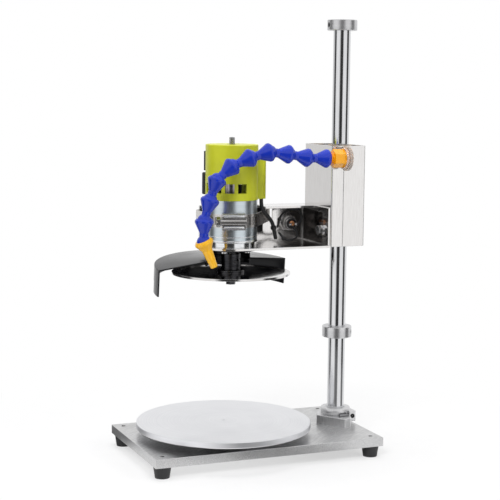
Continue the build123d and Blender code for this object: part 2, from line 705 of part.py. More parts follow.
def motor_screws():
    """Four screws through the guard's ring and the shelf into the motor's nose."""
    screws = Part()
    tip = CAN_Z0 - 1.5
    low = ARM_Z0 - GUARD_T
    for x, y in motor_screw_sites():
        head = rod(MOTOR_SCREW_HEAD_R, x, y, low - MOTOR_SCREW_HEAD_H, low)
        screws += head + rod(MOTOR_SCREW_R, x, y, low, tip)
    return screws


def strap_outline(inset):
    """Plan of the strap's loop: round the can, back through the web and round its end."""
    corners = [(BAND_SLOT_X, WEB_Y1 + BAND_CORNER_R + 0.1), (BAND_LEFT_X, WEB_Y1 + BAND_CORNER_R + 0.1)]
    edges = (Pos(MOTOR_X, MOTOR_Y) * Circle(CAN_R + inset)).edges()
    for x, y in corners:
        edges += (Pos(x, y) * Circle(BAND_CORNER_R + inset)).edges()
    return make_hull(edges)


def clamp_band():
    loop = extrude(strap_outline(BAND_T), BAND_H) - Pos(0, 0, -1) * extrude(strap_outline(0), BAND_H + 2)
    return Pos(0, 0, BAND_Z0) * loop


def housing_frame():
    return about(MOTOR_X, MOTOR_Y, HOUSING_TURN) * Pos(0, 0, BAND_Z0 + BAND_H / 2)


def worm_y():
    """Worm centre in the housing's frame."""
    return -(CAN_R + BAND_T + WORM_R + 0.8)


def clamp_housing():
    back = CAN_R + BAND_T
    body = block(-HOUSING_L / 2, HOUSING_L / 2, -back - HOUSING_D, -back + 4, -HOUSING_H / 2, HOUSING_H / 2)
    front_edges = body.edges().filter_by(Axis.X).group_by(Axis.Y)[0]
    body = fillet(front_edges, 4.0)
    body -= Pos(0, worm_y(), 0) * Rot(0, 90, 0) * Cylinder(WORM_R, HOUSING_L + 2)
    window = block(-HOUSING_L / 2 + 3, HOUSING_L / 2 - 3, -back - HOUSING_D - 1, worm_y(), -2.4, 2.4)
    body -= window
    body -= rod(back, 0, 0, -HOUSING_H, HOUSING_H)
    return housing_frame() * body


def clamp_worm_screw():
    x0 = -HOUSING_L / 2 - WORM_OVERHANG
    worm = rod_x(WORM_R, x0, HOUSING_L / 2 + 1, worm_y(), 0)
    head = Pos(x0 - WORM_HEAD_L, worm_y(), 0) * Rot(0, 90, 0) * hex_prism(2 * WORM_HEAD_R * 0.9, WORM_HEAD_L)
    slot = block(x0 - WORM_HEAD_L - 1, x0 - WORM_HEAD_L + 1.6, worm_y() - 8, worm_y() + 8, -0.7, 0.7)
    return housing_frame() * (worm + head - slot)


def rubber_cradle():
    """Rubber block between the can and the web, hollowed to the can."""
    body = block(ARM_WEB_X0 + 1, CRADLE_X1, MOTOR_Y + 14, WEB_Y0, CRADLE_Z0, CRADLE_Z1)
    body += block(ARM_WEB_X0 + 1, CRADLE_FOOT_X, WEB_Y0 - 5, WEB_Y0, CRADLE_Z0 - CRADLE_FOOT_H, CRADLE_Z0)
    right = make_face(Polyline((MOTOR_X, MOTOR_Y), (CRADLE_FOOT_X + 10, WEB_Y0 + 12),
                               (CRADLE_FOOT_X + 40, MOTOR_Y), close=True))
    body &= Pos(0, 0, CRADLE_Z0 - 5) * extrude(strap_outline(-0.6) - right, 40)
    return body - rod(CAN_R, MOTOR_X, MOTOR_Y, ARM_Z0, ARM_Z1)


# ---- Spindle ----
def spindle_shaft():
    shaft = rod(SHAFT_R, MOTOR_X, MOTOR_Y, HUB_FLANGE_TOP + 8, COVER_TOP - COVER_T + 0.5)
    shaft += rod(SHAFT_STUB_R, MOTOR_X, MOTOR_Y, COVER_TOP - COVER_T, SHAFT_TOP)
    return chamfer(shaft.edges().group_by(Axis.Z)[-1], 0.5)


def armature_core():
    z1 = ARMATURE_Z0 + ARMATURE_H
    core = ring(ARMATURE_R, SHAFT_R, 0, 0, ARMATURE_Z0, z1)
    for i in range(12):
        a = radians(30 * i)
        core -= rod(2.0, (ARMATURE_R - 1.5) * cos(a), (ARMATURE_R - 1.5) * sin(a), ARMATURE_Z0 - 1, z1 + 1)
    core += ring(ARMATURE_R - 5, SHAFT_R, 0, 0, z1, z1 + 5)
    return Pos(MOTOR_X, MOTOR_Y, 0) * core


def commutator():
    z1 = COMMUTATOR_Z0 + COMMUTATOR_H
    body = ring(COMMUTATOR_R, SHAFT_R, 0, 0, COMMUTATOR_Z0, z1)
    for i in range(12):
        bar_gap = block(COMMUTATOR_R - 0.8, COMMUTATOR_R + 1, -0.3, 0.3, COMMUTATOR_Z0 + 3, z1 + 1)
        body -= Rot(0, 0, 30 * i) * bar_gap
    return Pos(MOTOR_X, MOTOR_Y, 0) * body


def cooling_fan():
    fan = ring(FAN_R, SHAFT_R, 0, 0, FAN_Z0, FAN_Z0 + 1.2)
    fan += ring(SHAFT_R + 3, SHAFT_R, 0, 0, FAN_Z0, FAN_Z0 + FAN_H)
    for i in range(9):
        fan += Rot(0, 0, 40 * i) * block(SHAFT_R + 2, FAN_R - 0.5, -0.6, 0.6, FAN_Z0 + 1, FAN_Z0 + FAN_H)
    return Pos(MOTOR_X, MOTOR_Y, 0) * fan


def arbor_adapter():
    """Steel sleeve from the motor's shaft to the disc, with a cross screw hole."""
    body = rod(ARBOR_R, MOTOR_X, MOTOR_Y, HUB_FLANGE_TOP, ARBOR_TOP)
    body = chamfer(body.edges().group_by(Axis.Z)[-1], 0.8)
    body -= rod(SHAFT_R, MOTOR_X, MOTOR_Y, HUB_FLANGE_TOP + 8, ARBOR_TOP + 1)
    body -= rod(DISC_BOLT_R, MOTOR_X, MOTOR_Y, HUB_FLANGE_TOP - 1, HUB_FLANGE_TOP + 7)
    hole = rod_x(2.4, SHAFT_R, ARBOR_R + 1, 0, (HUB_FLANGE_TOP + ARBOR_TOP) / 2 + 1)
    return body - about(MOTOR_X, MOTOR_Y, 292) * hole


def disc_flange():
    z0 = DISC_TOP - DISC_RECESS
    flange = ring(HUB_FLANGE_R, DISC_BOLT_R, MOTOR_X, MOTOR_Y, z0, HUB_FLANGE_TOP)
    top = flange.edges().filter_by(GeomType.CIRCLE).group_by(Axis.Z)[-1]
    return chamfer(top.sort_by(SortBy.RADIUS)[-1], 0.8)


def grinding_disc():
    """Flat steel disc, full thickness in its abrasive rim and thinner inside it."""
    disc = ring(DISC_R, DISC_BOLT_R, MOTOR_X, MOTOR_Y, DISC_Z0, DISC_TOP)
    inner = DISC_R - DISC_BAND
    return disc - rod(inner, MOTOR_X, MOTOR_Y, DISC_TOP - DISC_RECESS, DISC_TOP + 1)


def disc_bolt():
    low = DISC_Z0 - DISC_BOLT_WASHER_T
    shank = rod(DISC_BOLT_R, MOTOR_X, MOTOR_Y, low, HUB_FLANGE_TOP + 7)
    washer = rod(DISC_BOLT_WASHER_R, MOTOR_X, MOTOR_Y, low, DISC_Z0)
    head = Pos(MOTOR_X, MOTOR_Y, low - DISC_BOLT_HEAD) * hex_prism(DISC_BOLT_AF, DISC_BOLT_HEAD)
    return shank + washer + head


# ---- Guard ----
def sector(radius, start, end, z0, z1):
    """Wedge of a cylinder between two angles, round the local Z."""
    arc = CenterArc((0, 0), radius, start, end - start)
    face = make_face([Line((0, 0), arc @ 0), arc, Line(arc @ 1, (0, 0))])
    return Pos(0, 0, z0) * extrude(face, z1 - z0)


def guard_skirt():
    """Rim wall that deepens towards its two open ends."""
    left, right = GUARD_LEFT, GUARD_RIGHT
    middle = sector(GUARD_R, right + GUARD_TIP_ARC, left - GUARD_TIP_ARC, -GUARD_SKIRT, GUARD_T)
    ends = sector(GUARD_R, right, right + GUARD_TIP_ARC, -GUARD_TIP_SKIRT, GUARD_T)
    ends += sector(GUARD_R, left - GUARD_TIP_ARC, left, -GUARD_TIP_SKIRT, GUARD_T)
    wall = middle + ends
    return wall - rod(GUARD_R - GUARD_T, 0, 0, -GUARD_TIP_SKIRT - 1, GUARD_T + 20)


def guard_plate():
    """Dished plate from the rim up to the neck."""
    rise = GUARD_DISH
    profile = [(GUARD_NECK_R - GUARD_T, rise), (GUARD_NECK_R - GUARD_T, rise + GUARD_T),
               (GUARD_R, GUARD_T), (GUARD_R, 0)]
    return turned(profile) & sector(GUARD_R + 5, GUARD_RIGHT, GUARD_LEFT, -5, rise + 5)


def grinder_guard():
    dish = Pos(MOTOR_X, MOTOR_Y, GUARD_RIM_Z) * Rot(GUARD_TILT, 0, 0) * (guard_plate() + guard_skirt())
    neck = sector(GUARD_NECK_R, GUARD_RIGHT, GUARD_LEFT, GUARD_RIM_Z + GUARD_DISH - 4, ARM_Z0)
    neck -= rod(GUARD_NECK_R - GUARD_T, 0, 0, 0, ARM_Z0 - GUARD_T)
    neck += ring(GUARD_NECK_R, SHAFT_R + 9, 0, 0, ARM_Z0 - GUARD_T, ARM_Z0)
    neck -= rod(SHAFT_R + 9, 0, 0, 0, ARM_Z0 + 1)
    body = dish + Pos(MOTOR_X, MOTOR_Y, 0) * neck
    for x, y in motor_screw_sites():
        body -= rod(MOTOR_SCREW_R, x, y, ARM_Z0 - GUARD_T - 1, ARM_Z0 + 1)
    return body


# ---- Power socket, lead and wires ----
def dc_socket():
    body = rod_y(JACK_R, JACK_X, JACK_FRONT_Y, WEB_Y0, JACK_Z)
    body = fillet(body.edges().filter_by(GeomType.CIRCLE).group_by(Axis.Y)[0], 0.8)
    body += rod_y(JACK_R - 1, JACK_X, WEB_Y0 - 1, WEB_Y1, JACK_Z)
    body += rod_y(JACK_FLANGE_R, JACK_X, WEB_Y1, WEB_Y1 + JACK_FLANGE_T, JACK_Z)
    back = WEB_Y1 + JACK_FLANGE_T
    body -= rod_y(JACK_BORE_R, JACK_X, back - JACK_BORE_DEPTH, back + 1, JACK_Z)
    for side in (-1, 1):
        x = JACK_X + 3.2 * side
        body += block(x - 1, x + 1, JACK_FRONT_Y - JACK_TAB_L, JACK_FRONT_Y + 1, JACK_Z - 0.5, JACK_Z + 0.5)
    return body


def socket_nut():
    nut = Pos(JACK_X, WEB_Y0, JACK_Z) * Rot(90, 0, 0) * hex_prism(JACK_NUT_AF, JACK_NUT_T)
    return nut - rod_y(JACK_R, JACK_X, WEB_Y0 - JACK_NUT_T - 1, WEB_Y0 + 1, JACK_Z)


LEAD_ROUTE = [
    (18.0, 4.0, 292.0), (18.0, 4.0, 284.8), (21.0, 5.5, 277.5), (31.0, 10.4, 269.0),
    (37.5, 14.5, 261.5), (40.0, 16.5, 252.0), (42.6, 17.5, 243.6),
]
UPPER_WIRE_ROUTE = [
    (44.0, 16.0, 257.0), (47.5, 20.0, 264.5), (52.5, 24.0, 271.7), (60.4, 25.6, 275.2),
    (71.8, 25.5, 277.3), (78.2, 24.6, 272.3), (78.8, 23.7, 264.1), (73.0, 23.4, 258.2),
]
LOWER_WIRE_ROUTE = [
    (44.6, 13.5, 251.5), (48.0, 11.0, 245.5), (54.5, 10.0, 242.0), (62.0, 11.0, 242.2),
    (68.6, 13.9, 245.9), (70.3, 18.6, 252.5), (64.8, 26.0, 257.3),
]


def cord_radii(route, smallest):
    """Corner radii of a cord: 0.45 of the shorter run over the tangent of half the turn."""
    radii = []
    for a, b, c in zip(route, route[1:], route[2:]):
        before, after = Vector(*b) - Vector(*a), Vector(*c) - Vector(*b)
        turn = radians(before.get_angle(after))
        radius = 0.45 * min(before.length, after.length) / tan(turn / 2)
        radii.append(round(radius, 3))
    if min(radii) < smallest:
        print("tight bend:", min(radii))
    return radii


def cord(name, route, radius):
    """Round tube along straight runs joined by tangent arcs."""
    radii = cord_radii(route, 3 * 2 * radius)
    path = FilletPolyline(*route, radius=radii)
    start = Plane(origin=path @ 0, z_dir=path % 0)
    tube = sweep(start * Circle(radius), path=path)
    expected = 3.14159265 * radius ** 2 * path.length
    print(f"{name}: length {path.length:.1f} mm, radii {radii}, volume ratio {tube.volume / expected:.4f}")
    return tube


def motor_lead():
    return cord("motor_lead", LEAD_ROUTE, LEAD_R)


def lead_wires():
    upper = cord("upper wire", UPPER_WIRE_ROUTE, WIRE_R)
    return upper + cord("lower wire", LOWER_WIRE_ROUTE, WIRE_R)


def cable_tie():
    """Tie round the lead and the two wires."""
    a, b = Vector(*LEAD_ROUTE[4]), Vector(*LEAD_ROUTE[5])
    middle = (a + b) / 2
    frame = Location(Plane(origin=middle, z_dir=(b - a)))
    inner = LEAD_R + 0.05
    return frame * (ring(inner + TIE_T, inner, 0, 0, -TIE_H / 2, TIE_H / 2))


# ---- Coolant hose ----
def socket_outline():
    """Half outline of a hose piece's socket end, (radius, distance) from the ball centre."""
    return [(SHELL_R - 1.6, -MOUTH), (SHELL_R, -0.4), (SHELL_R, 1.6)]


def socket_cavity():
    return Sphere(BALL_R + SLIDE_FIT)


def neck_start():
    return HOSE_PITCH - sqrt(BALL_R ** 2 - HOSE_NECK_R ** 2)


def hose_piece():
    """Socket on the local origin, ball one pitch along +Z."""
    mouth_r = sqrt((BALL_R + SLIDE_FIT) ** 2 - MOUTH ** 2)
    outline = [(mouth_r, -MOUTH)] + socket_outline()
    outline += [(HOSE_NECK_R, neck_start() - 4), (HOSE_NECK_R, HOSE_PITCH), (0, HOSE_PITCH), (0, -MOUTH)]
    body = turned(outline)
    body -= socket_cavity()
    ball = Pos(0, 0, HOSE_PITCH) * Sphere(BALL_R)
    ball -= block(-20, 20, -20, 20, HOSE_PITCH + BALL_CUT, HOSE_PITCH + 20)
    body += ball
    return body - rod(HOSE_BORE_R, 0, 0, 2, HOSE_PITCH + 20)


def nozzle_piece():
    outline = [(0, -MOUTH)] + socket_outline()
    outline += [(SHELL_R - 2.2, 5.0), (HOSE_NECK_R + 0.9, 9.0), (NOZZLE_TIP_R, NOZZLE_L), (0, NOZZLE_L)]
    body = turned(outline) - socket_cavity()
    body -= rod(HOSE_BORE_R - 0.4, 0, 0, 2, NOZZLE_L - 12)
    return body - rod(NOZZLE_BORE_R, 0, 0, NOZZLE_L - 13, NOZZLE_L + 1)


def hose_joints():
    """Ball centres along the hose in (x, z), one pitch apart."""
    joints = [(HOSE_X, HOSE_Z)]
    for turn in HOSE_TURNS:
        x, z = joints[-1]
        joints.append((x + HOSE_PITCH * cos(radians(turn)), z + HOSE_PITCH * sin(radians(turn))))
    return joints


def hose_frame(x, z, turn):
    """Frame at a ball centre whose Z runs down the hose."""
    return Pos(x, HOSE_Y, z) * Rot(0, 90 - turn, 0)


def hose_segment(index):
    x, z = hose_joints()[index]
    return hose_frame(x, z, HOSE_TURNS[index]) * hose_piece()


def hose_nozzle():
    x, z = hose_joints()[-1]
    return hose_frame(x, z, NOZZLE_TURN) * nozzle_piece()


def hose_fitting():
    """Threaded elbowless fitting: port stub, ring, hexagon and the first ball."""
    x1 = TAB_X0 + SHEET_T
    hexagon = Pos(FITTING_HEX_X0, HOSE_Y, HOSE_Z) * Rot(0, 90, 0) * hex_prism(FITTING_HEX_AF, FITTING_HEX_L)
    body = hexagon + rod_x(FITTING_RING_R, FITTING_HEX_X0 + FITTING_HEX_L, SEAL_X0, HOSE_Y, HOSE_Z)
    body += rod_x(PORT_R, SEAL_X0, x1, HOSE_Y, HOSE_Z)
    body += rod_x(HOSE_NECK_R, HOSE_X, FITTING_HEX_X0, HOSE_Y, HOSE_Z)
    ball = Pos(HOSE_X, HOSE_Y, HOSE_Z) * Sphere(BALL_R)
    body += ball
    body -= block(HOSE_X - 20, HOSE_X - BALL_CUT, HOSE_Y - 20, HOSE_Y + 20, HOSE_Z - 20, HOSE_Z + 20)
    body -= rod_x(HOSE_BORE_R, HOSE_X - 20, x1 + 1, HOSE_Y, HOSE_Z)
    return body - rod_x(PORT_BORE_R, x1 - PORT_BORE_DEPTH, x1 + 1, HOSE_Y, HOSE_Z)


def sealing_washer():
    outer = rod_x(SEAL_R, SEAL_X0, TAB_X0, HOSE_Y, HOSE_Z)
    return outer - rod_x(PORT_R, SEAL_X0 - 1, TAB_X0 + 1, HOSE_Y, HOSE_Z)


# ---- Write one file per named piece ----
PIECES = {
    "base_plate": base_plate, "rubber_feet": rubber_feet, "foot_screws": foot_screws,
    "pivot_stud": pivot_stud, "thrust_washer": thrust_washer,
    "turntable_hub": turntable_hub, "turntable": turntable,
    "column_rod": column_rod, "column_flange": column_flange, "flange_screws": flange_screws,
    "clamp_screws": clamp_screws, "top_collar": top_collar,
    "stop_collar": stop_collar, "stop_collar_screw": stop_collar_screw,
    "guide_bushings": guide_bushings, "bearing_block": bearing_block,
    "carriage_left_shell": carriage_left_shell, "carriage_right_shell": carriage_right_shell,
    "shell_screws": shell_screws, "lock_knob": lock_knob,
    "arm_bracket": arm_bracket, "arm_bolts": arm_bolts, "arm_washers": arm_washers,
    "motor_end_bell": motor_end_bell, "motor_can": motor_can, "field_magnets": field_magnets,
    "motor_bearings": motor_bearings, "motor_cover": motor_cover, "carbon_brushes": carbon_brushes,
    "motor_screws": motor_screws, "clamp_band": clamp_band, "clamp_housing": clamp_housing,
    "clamp_worm_screw": clamp_worm_screw, "rubber_cradle": rubber_cradle,
    "spindle_shaft": spindle_shaft, "armature_core": armature_core, "commutator": commutator,
    "cooling_fan": cooling_fan, "arbor_adapter": arbor_adapter, "disc_flange": disc_flange,
    "grinding_disc": grinding_disc, "disc_bolt": disc_bolt, "grinder_guard": grinder_guard,
    "dc_socket": dc_socket, "socket_nut": socket_nut, "motor_lead": motor_lead, "lead_wires": lead_wires,
    "cable_tie": cable_tie, "hose_fitting": hose_fitting, "sealing_washer": sealing_washer,
    "hose_nozzle": hose_nozzle,
}

os.makedirs("parts", exist_ok=True)
for name, make in PIECES.items():
    export_step(make(), f"parts/{name}.step")
for i in range(len(HOSE_TURNS)):
    export_step(hose_segment(i), f"parts/hose_segment_{i + 1}.step")
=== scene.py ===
import json
from math import cos, pi, radians, sin

import bmesh
import bpy
from mathutils import Matrix, Vector


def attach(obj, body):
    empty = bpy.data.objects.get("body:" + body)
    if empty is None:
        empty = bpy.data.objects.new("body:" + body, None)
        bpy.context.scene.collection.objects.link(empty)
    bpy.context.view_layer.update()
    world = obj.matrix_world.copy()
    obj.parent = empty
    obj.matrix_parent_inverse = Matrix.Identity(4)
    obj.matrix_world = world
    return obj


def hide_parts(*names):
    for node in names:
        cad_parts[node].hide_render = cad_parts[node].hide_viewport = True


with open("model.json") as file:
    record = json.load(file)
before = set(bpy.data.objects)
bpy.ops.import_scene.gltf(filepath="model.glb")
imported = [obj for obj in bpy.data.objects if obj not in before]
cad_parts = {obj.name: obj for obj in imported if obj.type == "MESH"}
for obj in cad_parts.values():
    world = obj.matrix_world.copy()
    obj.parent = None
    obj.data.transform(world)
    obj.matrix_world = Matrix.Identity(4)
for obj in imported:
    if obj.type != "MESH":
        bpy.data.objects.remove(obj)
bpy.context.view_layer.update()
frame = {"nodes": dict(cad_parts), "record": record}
nodes = frame["nodes"]

# Places and sizes are in millimetres, in the frame of the machine's parts: +Z up, origin on the bench
# under the middle of the base plate. MM turns them into metres. Sizes in materials are in metres.
MM = 0.001
MOTOR = (-18.5, 4.0)
TABLE = (-27.5, 0.0)
POST = (117.0, 4.0)
STRAP_Z = 269.5
STRAP_TURN = radians(-17.0)
DISC_FOOT = 207.0
FLANGE_FOOT = 23.0
SOCKET = (68.0, 30.0, 259.5)
SOCKET_COLLAR_Y = 37.0
SEAL = (96.5, -45.0, 339.5)


# ---------------------------------------------------------------- camera
def look_from():
    """Camera in front of the machine and to its left, a little above the table."""
    place = Vector((-0.58119, -1.40872, 0.41624))
    yaw, pitch, roll = 0.3932, 0.1191, 0.0108
    forward = Vector((sin(yaw) * cos(pitch), cos(yaw) * cos(pitch), -sin(pitch)))
    level = Vector((cos(yaw), -sin(yaw), 0.0))
    over = level.cross(forward)
    right = cos(roll) * level + sin(roll) * over
    up = -sin(roll) * level + cos(roll) * over
    camera = bpy.data.objects.new("camera", bpy.data.cameras.new("camera"))
    bpy.context.scene.collection.objects.link(camera)
    turn = Matrix((right, up, -forward)).transposed()
    camera.matrix_world = Matrix.Translation(place) @ turn.to_4x4()
    camera.data.lens = 97.0
    camera.data.sensor_width = 36.0
    camera.data.clip_end = 50.0
    bpy.context.scene.camera = camera


look_from()


# ---------------------------------------------------------------- node groups
class Sheet:
    """A node tree with short calls for adding and linking nodes."""

    def __init__(self, tree):
        self.tree = tree

    def add(self, kind, **settings):
        node = self.tree.nodes.new("ShaderNode" + kind)
        for name, value in settings.items():
            setattr(node, name, value)
        return node

    def join(self, source, target):
        self.tree.links.new(source, target)

    def maths(self, operation, a, b=0.0, clamp=False):
        """Math node on two numbers or sockets."""
        node = self.add("Math", operation=operation, use_clamp=clamp)
        for socket, value in zip(node.inputs, (a, b)):
            if isinstance(value, (int, float)):
                socket.default_value = value
            else:
                self.join(value, socket)
        return node.outputs[0]

    def blend(self, factor, a, b):
        """Mix of two colours or sockets."""
        node = self.add("MixRGB")
        for socket, value in zip(node.inputs, (factor, a, b)):
            if isinstance(value, (int, float)):
                socket.default_value = value
            elif isinstance(value, tuple):
                socket.default_value = (*value[:3], 1.0)
            else:
                self.join(value, socket)
        return node.outputs[0]

    def ramp(self, source, stops):
        """Grey ramp through stops of (position, level)."""
        node = self.add("ValToRGB")
        self.join(source, node.inputs[0])
        points = node.color_ramp.elements
        points.remove(points[-1])
        points[0].position = stops[0][0]
        points[0].color = (*(stops[0][1],) * 3, 1.0)
        for position, level in stops[1:]:
            points.new(position).color = (level, level, level, 1.0)
        return node.outputs[0]


def group(name, inputs, outputs):
    """Empty node group, with a sheet to build it on and its outer sockets."""
    tree = bpy.data.node_groups.new(name, "ShaderNodeTree")
    for label, kind, default in inputs:
        socket = tree.interface.new_socket(label, in_out="INPUT", socket_type="NodeSocket" + kind)
        if default is not None:
            socket.default_value = default
    for label, kind in outputs:
        tree.interface.new_socket(label, in_out="OUTPUT", socket_type="NodeSocket" + kind)
    sheet = Sheet(tree)
    source = tree.nodes.new("NodeGroupInput")
    target = tree.nodes.new("NodeGroupOutput")
    return tree, sheet, source.outputs, target.inputs


CLOUD_SCALE = 34.0
HEIGHT_SCALE = 200.0
EDGE_GAIN = 5.0


def build_streaks():
    """Fine parallel lines: noise stretched along one direction of its vector."""
    tree, s, given, out = group(
        "fine_streaks",
        [("Vector", "Vector", None), ("Stretch", "Vector", (1.0, 1.0, 1.0)), ("Fineness", "Float", 900.0)],
        [("Streak", "Float"), ("Cloud", "Float")],
    )
    stretched = s.add("VectorMath", operation="MULTIPLY")
    s.join(given["Vector"], stretched.inputs[0])
    s.join(given["Stretch"], stretched.inputs[1])
    fine = s.add("TexNoise")
    s.join(stretched.outputs[0], fine.inputs["Vector"])
    s.join(given["Fineness"], fine.inputs["Scale"])
    fine.inputs["Detail"].default_value = 4.0
    cloud = s.add("TexNoise")
    s.join(given["Vector"], cloud.inputs["Vector"])
    cloud.inputs["Scale"].default_value = CLOUD_SCALE
    cloud.inputs["Detail"].default_value = 3.0
    s.join(fine.outputs[0], out["Streak"])
    s.join(cloud.outputs[0], out["Cloud"])
    return tree


def build_rings():
    """Turning marks round an upright line through the vector's origin."""
    tree, s, given, out = group(
        "turning_marks",
        [("Vector", "Vector", None), ("Fineness", "Float", 2400.0)],
        [("Mark", "Float"), ("Radius", "Float"), ("Angle", "Float")],
    )
    parts = s.add("SeparateXYZ")
    s.join(given["Vector"], parts.inputs[0])
    square = s.maths("ADD", s.maths("MULTIPLY", parts.outputs[0], parts.outputs[0]),
                     s.maths("MULTIPLY", parts.outputs[1], parts.outputs[1]))
    radius = s.maths("SQRT", square)
    line = s.add("CombineXYZ")
    s.join(s.maths("MULTIPLY", radius, given["Fineness"]), line.inputs[0])
    s.join(s.maths("MULTIPLY", parts.outputs[2], HEIGHT_SCALE), line.inputs[2])
    noise = s.add("TexNoise")
    s.join(line.outputs[0], noise.inputs["Vector"])
    noise.inputs["Scale"].default_value = 1.0
    noise.inputs["Detail"].default_value = 3.0
    s.join(noise.outputs[0], out["Mark"])
    s.join(radius, out["Radius"])
    s.join(s.maths("ARCTAN2", parts.outputs[1], parts.outputs[0]), out["Angle"])
    return tree


def build_edges():
    """Soft edge normal, and a mask that is white along sharp edges."""
    tree, s, given, out = group(
        "rounded_edges",
        [("Width", "Float", 0.0005), ("Normal", "Vector", None)],
        [("Edge", "Float"), ("Normal", "Vector")],
    )
    bevel = s.add("Bevel", samples=4)
    s.join(given["Width"], bevel.inputs["Radius"])
    s.join(given["Normal"], bevel.inputs["Normal"])
    face = s.add("NewGeometry")
    dot = s.add("VectorMath", operation="DOT_PRODUCT")
    s.join(bevel.outputs[0], dot.inputs[0])
    s.join(face.outputs["Normal"], dot.inputs[1])
    edge = s.maths("MULTIPLY", s.maths("SUBTRACT", 1.0, dot.outputs["Value"]), EDGE_GAIN, clamp=True)
    s.join(edge, out["Edge"])
    s.join(bevel.outputs[0], out["Normal"])
    return tree


# Levels of grey by direction: 0 and 1 lie at -X, 0.25 at -Y, 0.5 at +X and 0.75 at +Y.
PANEL_LEVELS = [(0.0, 1.0), (0.10, 1.0), (0.14, 0.04), (0.225, 0.04), (0.245, 1.0), (0.365, 1.0),
                (0.385, 0.05), (0.455, 0.05), (0.48, 0.95), (0.77, 0.95), (0.80, 0.78),
                (0.865, 0.7), (0.89, 0.05), (0.95, 0.05), (0.98, 1.0)]


def build_panels():
    """Soft white room with a few upright dark panels, by direction round the machine."""
    tree, s, given, out = group("studio_panels", [("Vector", "Vector", None)], [("Color", "Color")])
    parts = s.add("SeparateXYZ")
    s.join(given["Vector"], parts.inputs[0])
    angle = s.maths("ARCTAN2", parts.outputs[1], parts.outputs[0])
    share = s.maths("ADD", s.maths("DIVIDE", angle, 2 * pi), 0.5)
    s.join(s.ramp(share, PANEL_LEVELS), out["Color"])
    return tree


PANELS = build_panels()
STREAKS = build_streaks()
RINGS = build_rings()
EDGES = build_edges()


# ---------------------------------------------------------------- materials
class Finish(Sheet):
    """One material: a Principled shader and the nodes that feed it."""

    def __init__(self, name, **plain):
        self.material = bpy.data.materials.new(name)
        self.material.use_nodes = True
        super().__init__(self.material.node_tree)
        self.shader = self.tree.nodes["Principled BSDF"]
        for label, value in plain.items():
            self.shader.inputs[label.replace("_", " ")].default_value = value

    def place(self, centre=(0.0, 0.0, 0.0), turn=(0.0, 0.0, 0.0)):
        """Object coordinates about a centre in millimetres."""
        spot = self.add("TexCoord")
        mapping = self.add("Mapping")
        mapping.vector_type = "TEXTURE"
        mapping.inputs["Location"].default_value = [c * MM for c in centre]
        mapping.inputs["Rotation"].default_value = turn
        self.join(spot.outputs["Object"], mapping.inputs["Vector"])
        return mapping.outputs[0]

    def use(self, tree, **values):
        """Outputs of a group node with these inputs."""
        node = self.add("Group", node_tree=tree)
        for name, value in values.items():
            if isinstance(value, (int, float, tuple)):
                node.inputs[name].default_value = value
            else:
                self.join(value, node.inputs[name])
        return node.outputs

    def feed(self, name, source):
        self.join(source, self.shader.inputs[name])

    def bump(self, height, depth, normal=None):
        """Normal of a relief of this depth in metres."""
        node = self.add("Bump")
        node.inputs["Strength"].default_value = 1.0
        node.inputs["Distance"].default_value = depth
        self.join(height, node.inputs["Height"])
        if normal is not None:
            self.join(normal, node.inputs["Normal"])
        return node.outputs[0]

    def spread(self, source, low, high, from_low=0.3, from_high=0.7):
        """Source's range, a noise's by default, spread over low to high."""
        node = self.add("MapRange")
        limits = {"From Min": from_low, "From Max": from_high, "To Min": low, "To Max": high}
        for label, value in limits.items():
            node.inputs[label].default_value = value
        self.join(source, node.inputs["Value"])
        return node.outputs[0]


# Painted highlights: sharp edges are blended towards these pale tones by these shares, standing for light
# caught on rounded edges.
METAL_HIGHLIGHT_TONE = (0.95, 0.95, 0.95)
TURNED_HIGHLIGHT_TONE = (0.97, 0.97, 0.97)
BRUSHED_EDGE_HIGHLIGHT, TURNED_EDGE_HIGHLIGHT, MOULDED_EDGE_HIGHLIGHT = 0.55, 0.6, 0.4
GLOSS_CHANGE = 0.05


def brushed(name, dark, light, rough, stretch, fineness=900.0, turn=(0.0, 0.0, 0.0), depth=0.00002,
            edge=0.0004, cloud=0.06):
    """Metal with fine parallel lines, cloudy gloss and painted highlights along its edges."""
    f = Finish(name, Metallic=1.0)
    lines = f.use(STREAKS, Vector=f.place(turn=turn), Stretch=stretch, Fineness=fineness)
    soft = f.use(EDGES, Width=edge, Normal=f.bump(lines["Streak"], depth))
    tone = f.blend(f.spread(lines["Streak"], 0.0, 1.0), dark, light)
    tone = f.blend(f.maths("MULTIPLY", soft["Edge"], BRUSHED_EDGE_HIGHLIGHT), tone, METAL_HIGHLIGHT_TONE)
    f.feed("Base Color", tone)
    f.feed("Roughness", f.spread(lines["Cloud"], rough - cloud, rough + cloud))
    f.feed("Normal", soft["Normal"])
    return f.material


def turned(name, centre, dark, light, rough, fineness, depth, edge=0.0004):
    """Metal with turning marks round an upright line, and painted highlights along its edges."""
    f = Finish(name, Metallic=1.0)
    marks = f.use(RINGS, Vector=f.place(centre=centre), Fineness=fineness)
    cloud = f.use(STREAKS, Vector=f.place(), Fineness=60.0)
    soft = f.use(EDGES, Width=edge, Normal=f.bump(marks["Mark"], depth))
    tone = f.blend(f.spread(marks["Mark"], 0.0, 1.0), dark, light)
    tone = f.blend(f.maths("MULTIPLY", soft["Edge"], TURNED_EDGE_HIGHLIGHT), tone, TURNED_HIGHLIGHT_TONE)
    f.feed("Base Color", tone)
    f.feed("Roughness", f.spread(cloud["Cloud"], rough - GLOSS_CHANGE, rough + GLOSS_CHANGE))
    f.feed("Normal", soft["Normal"])
    return f.material


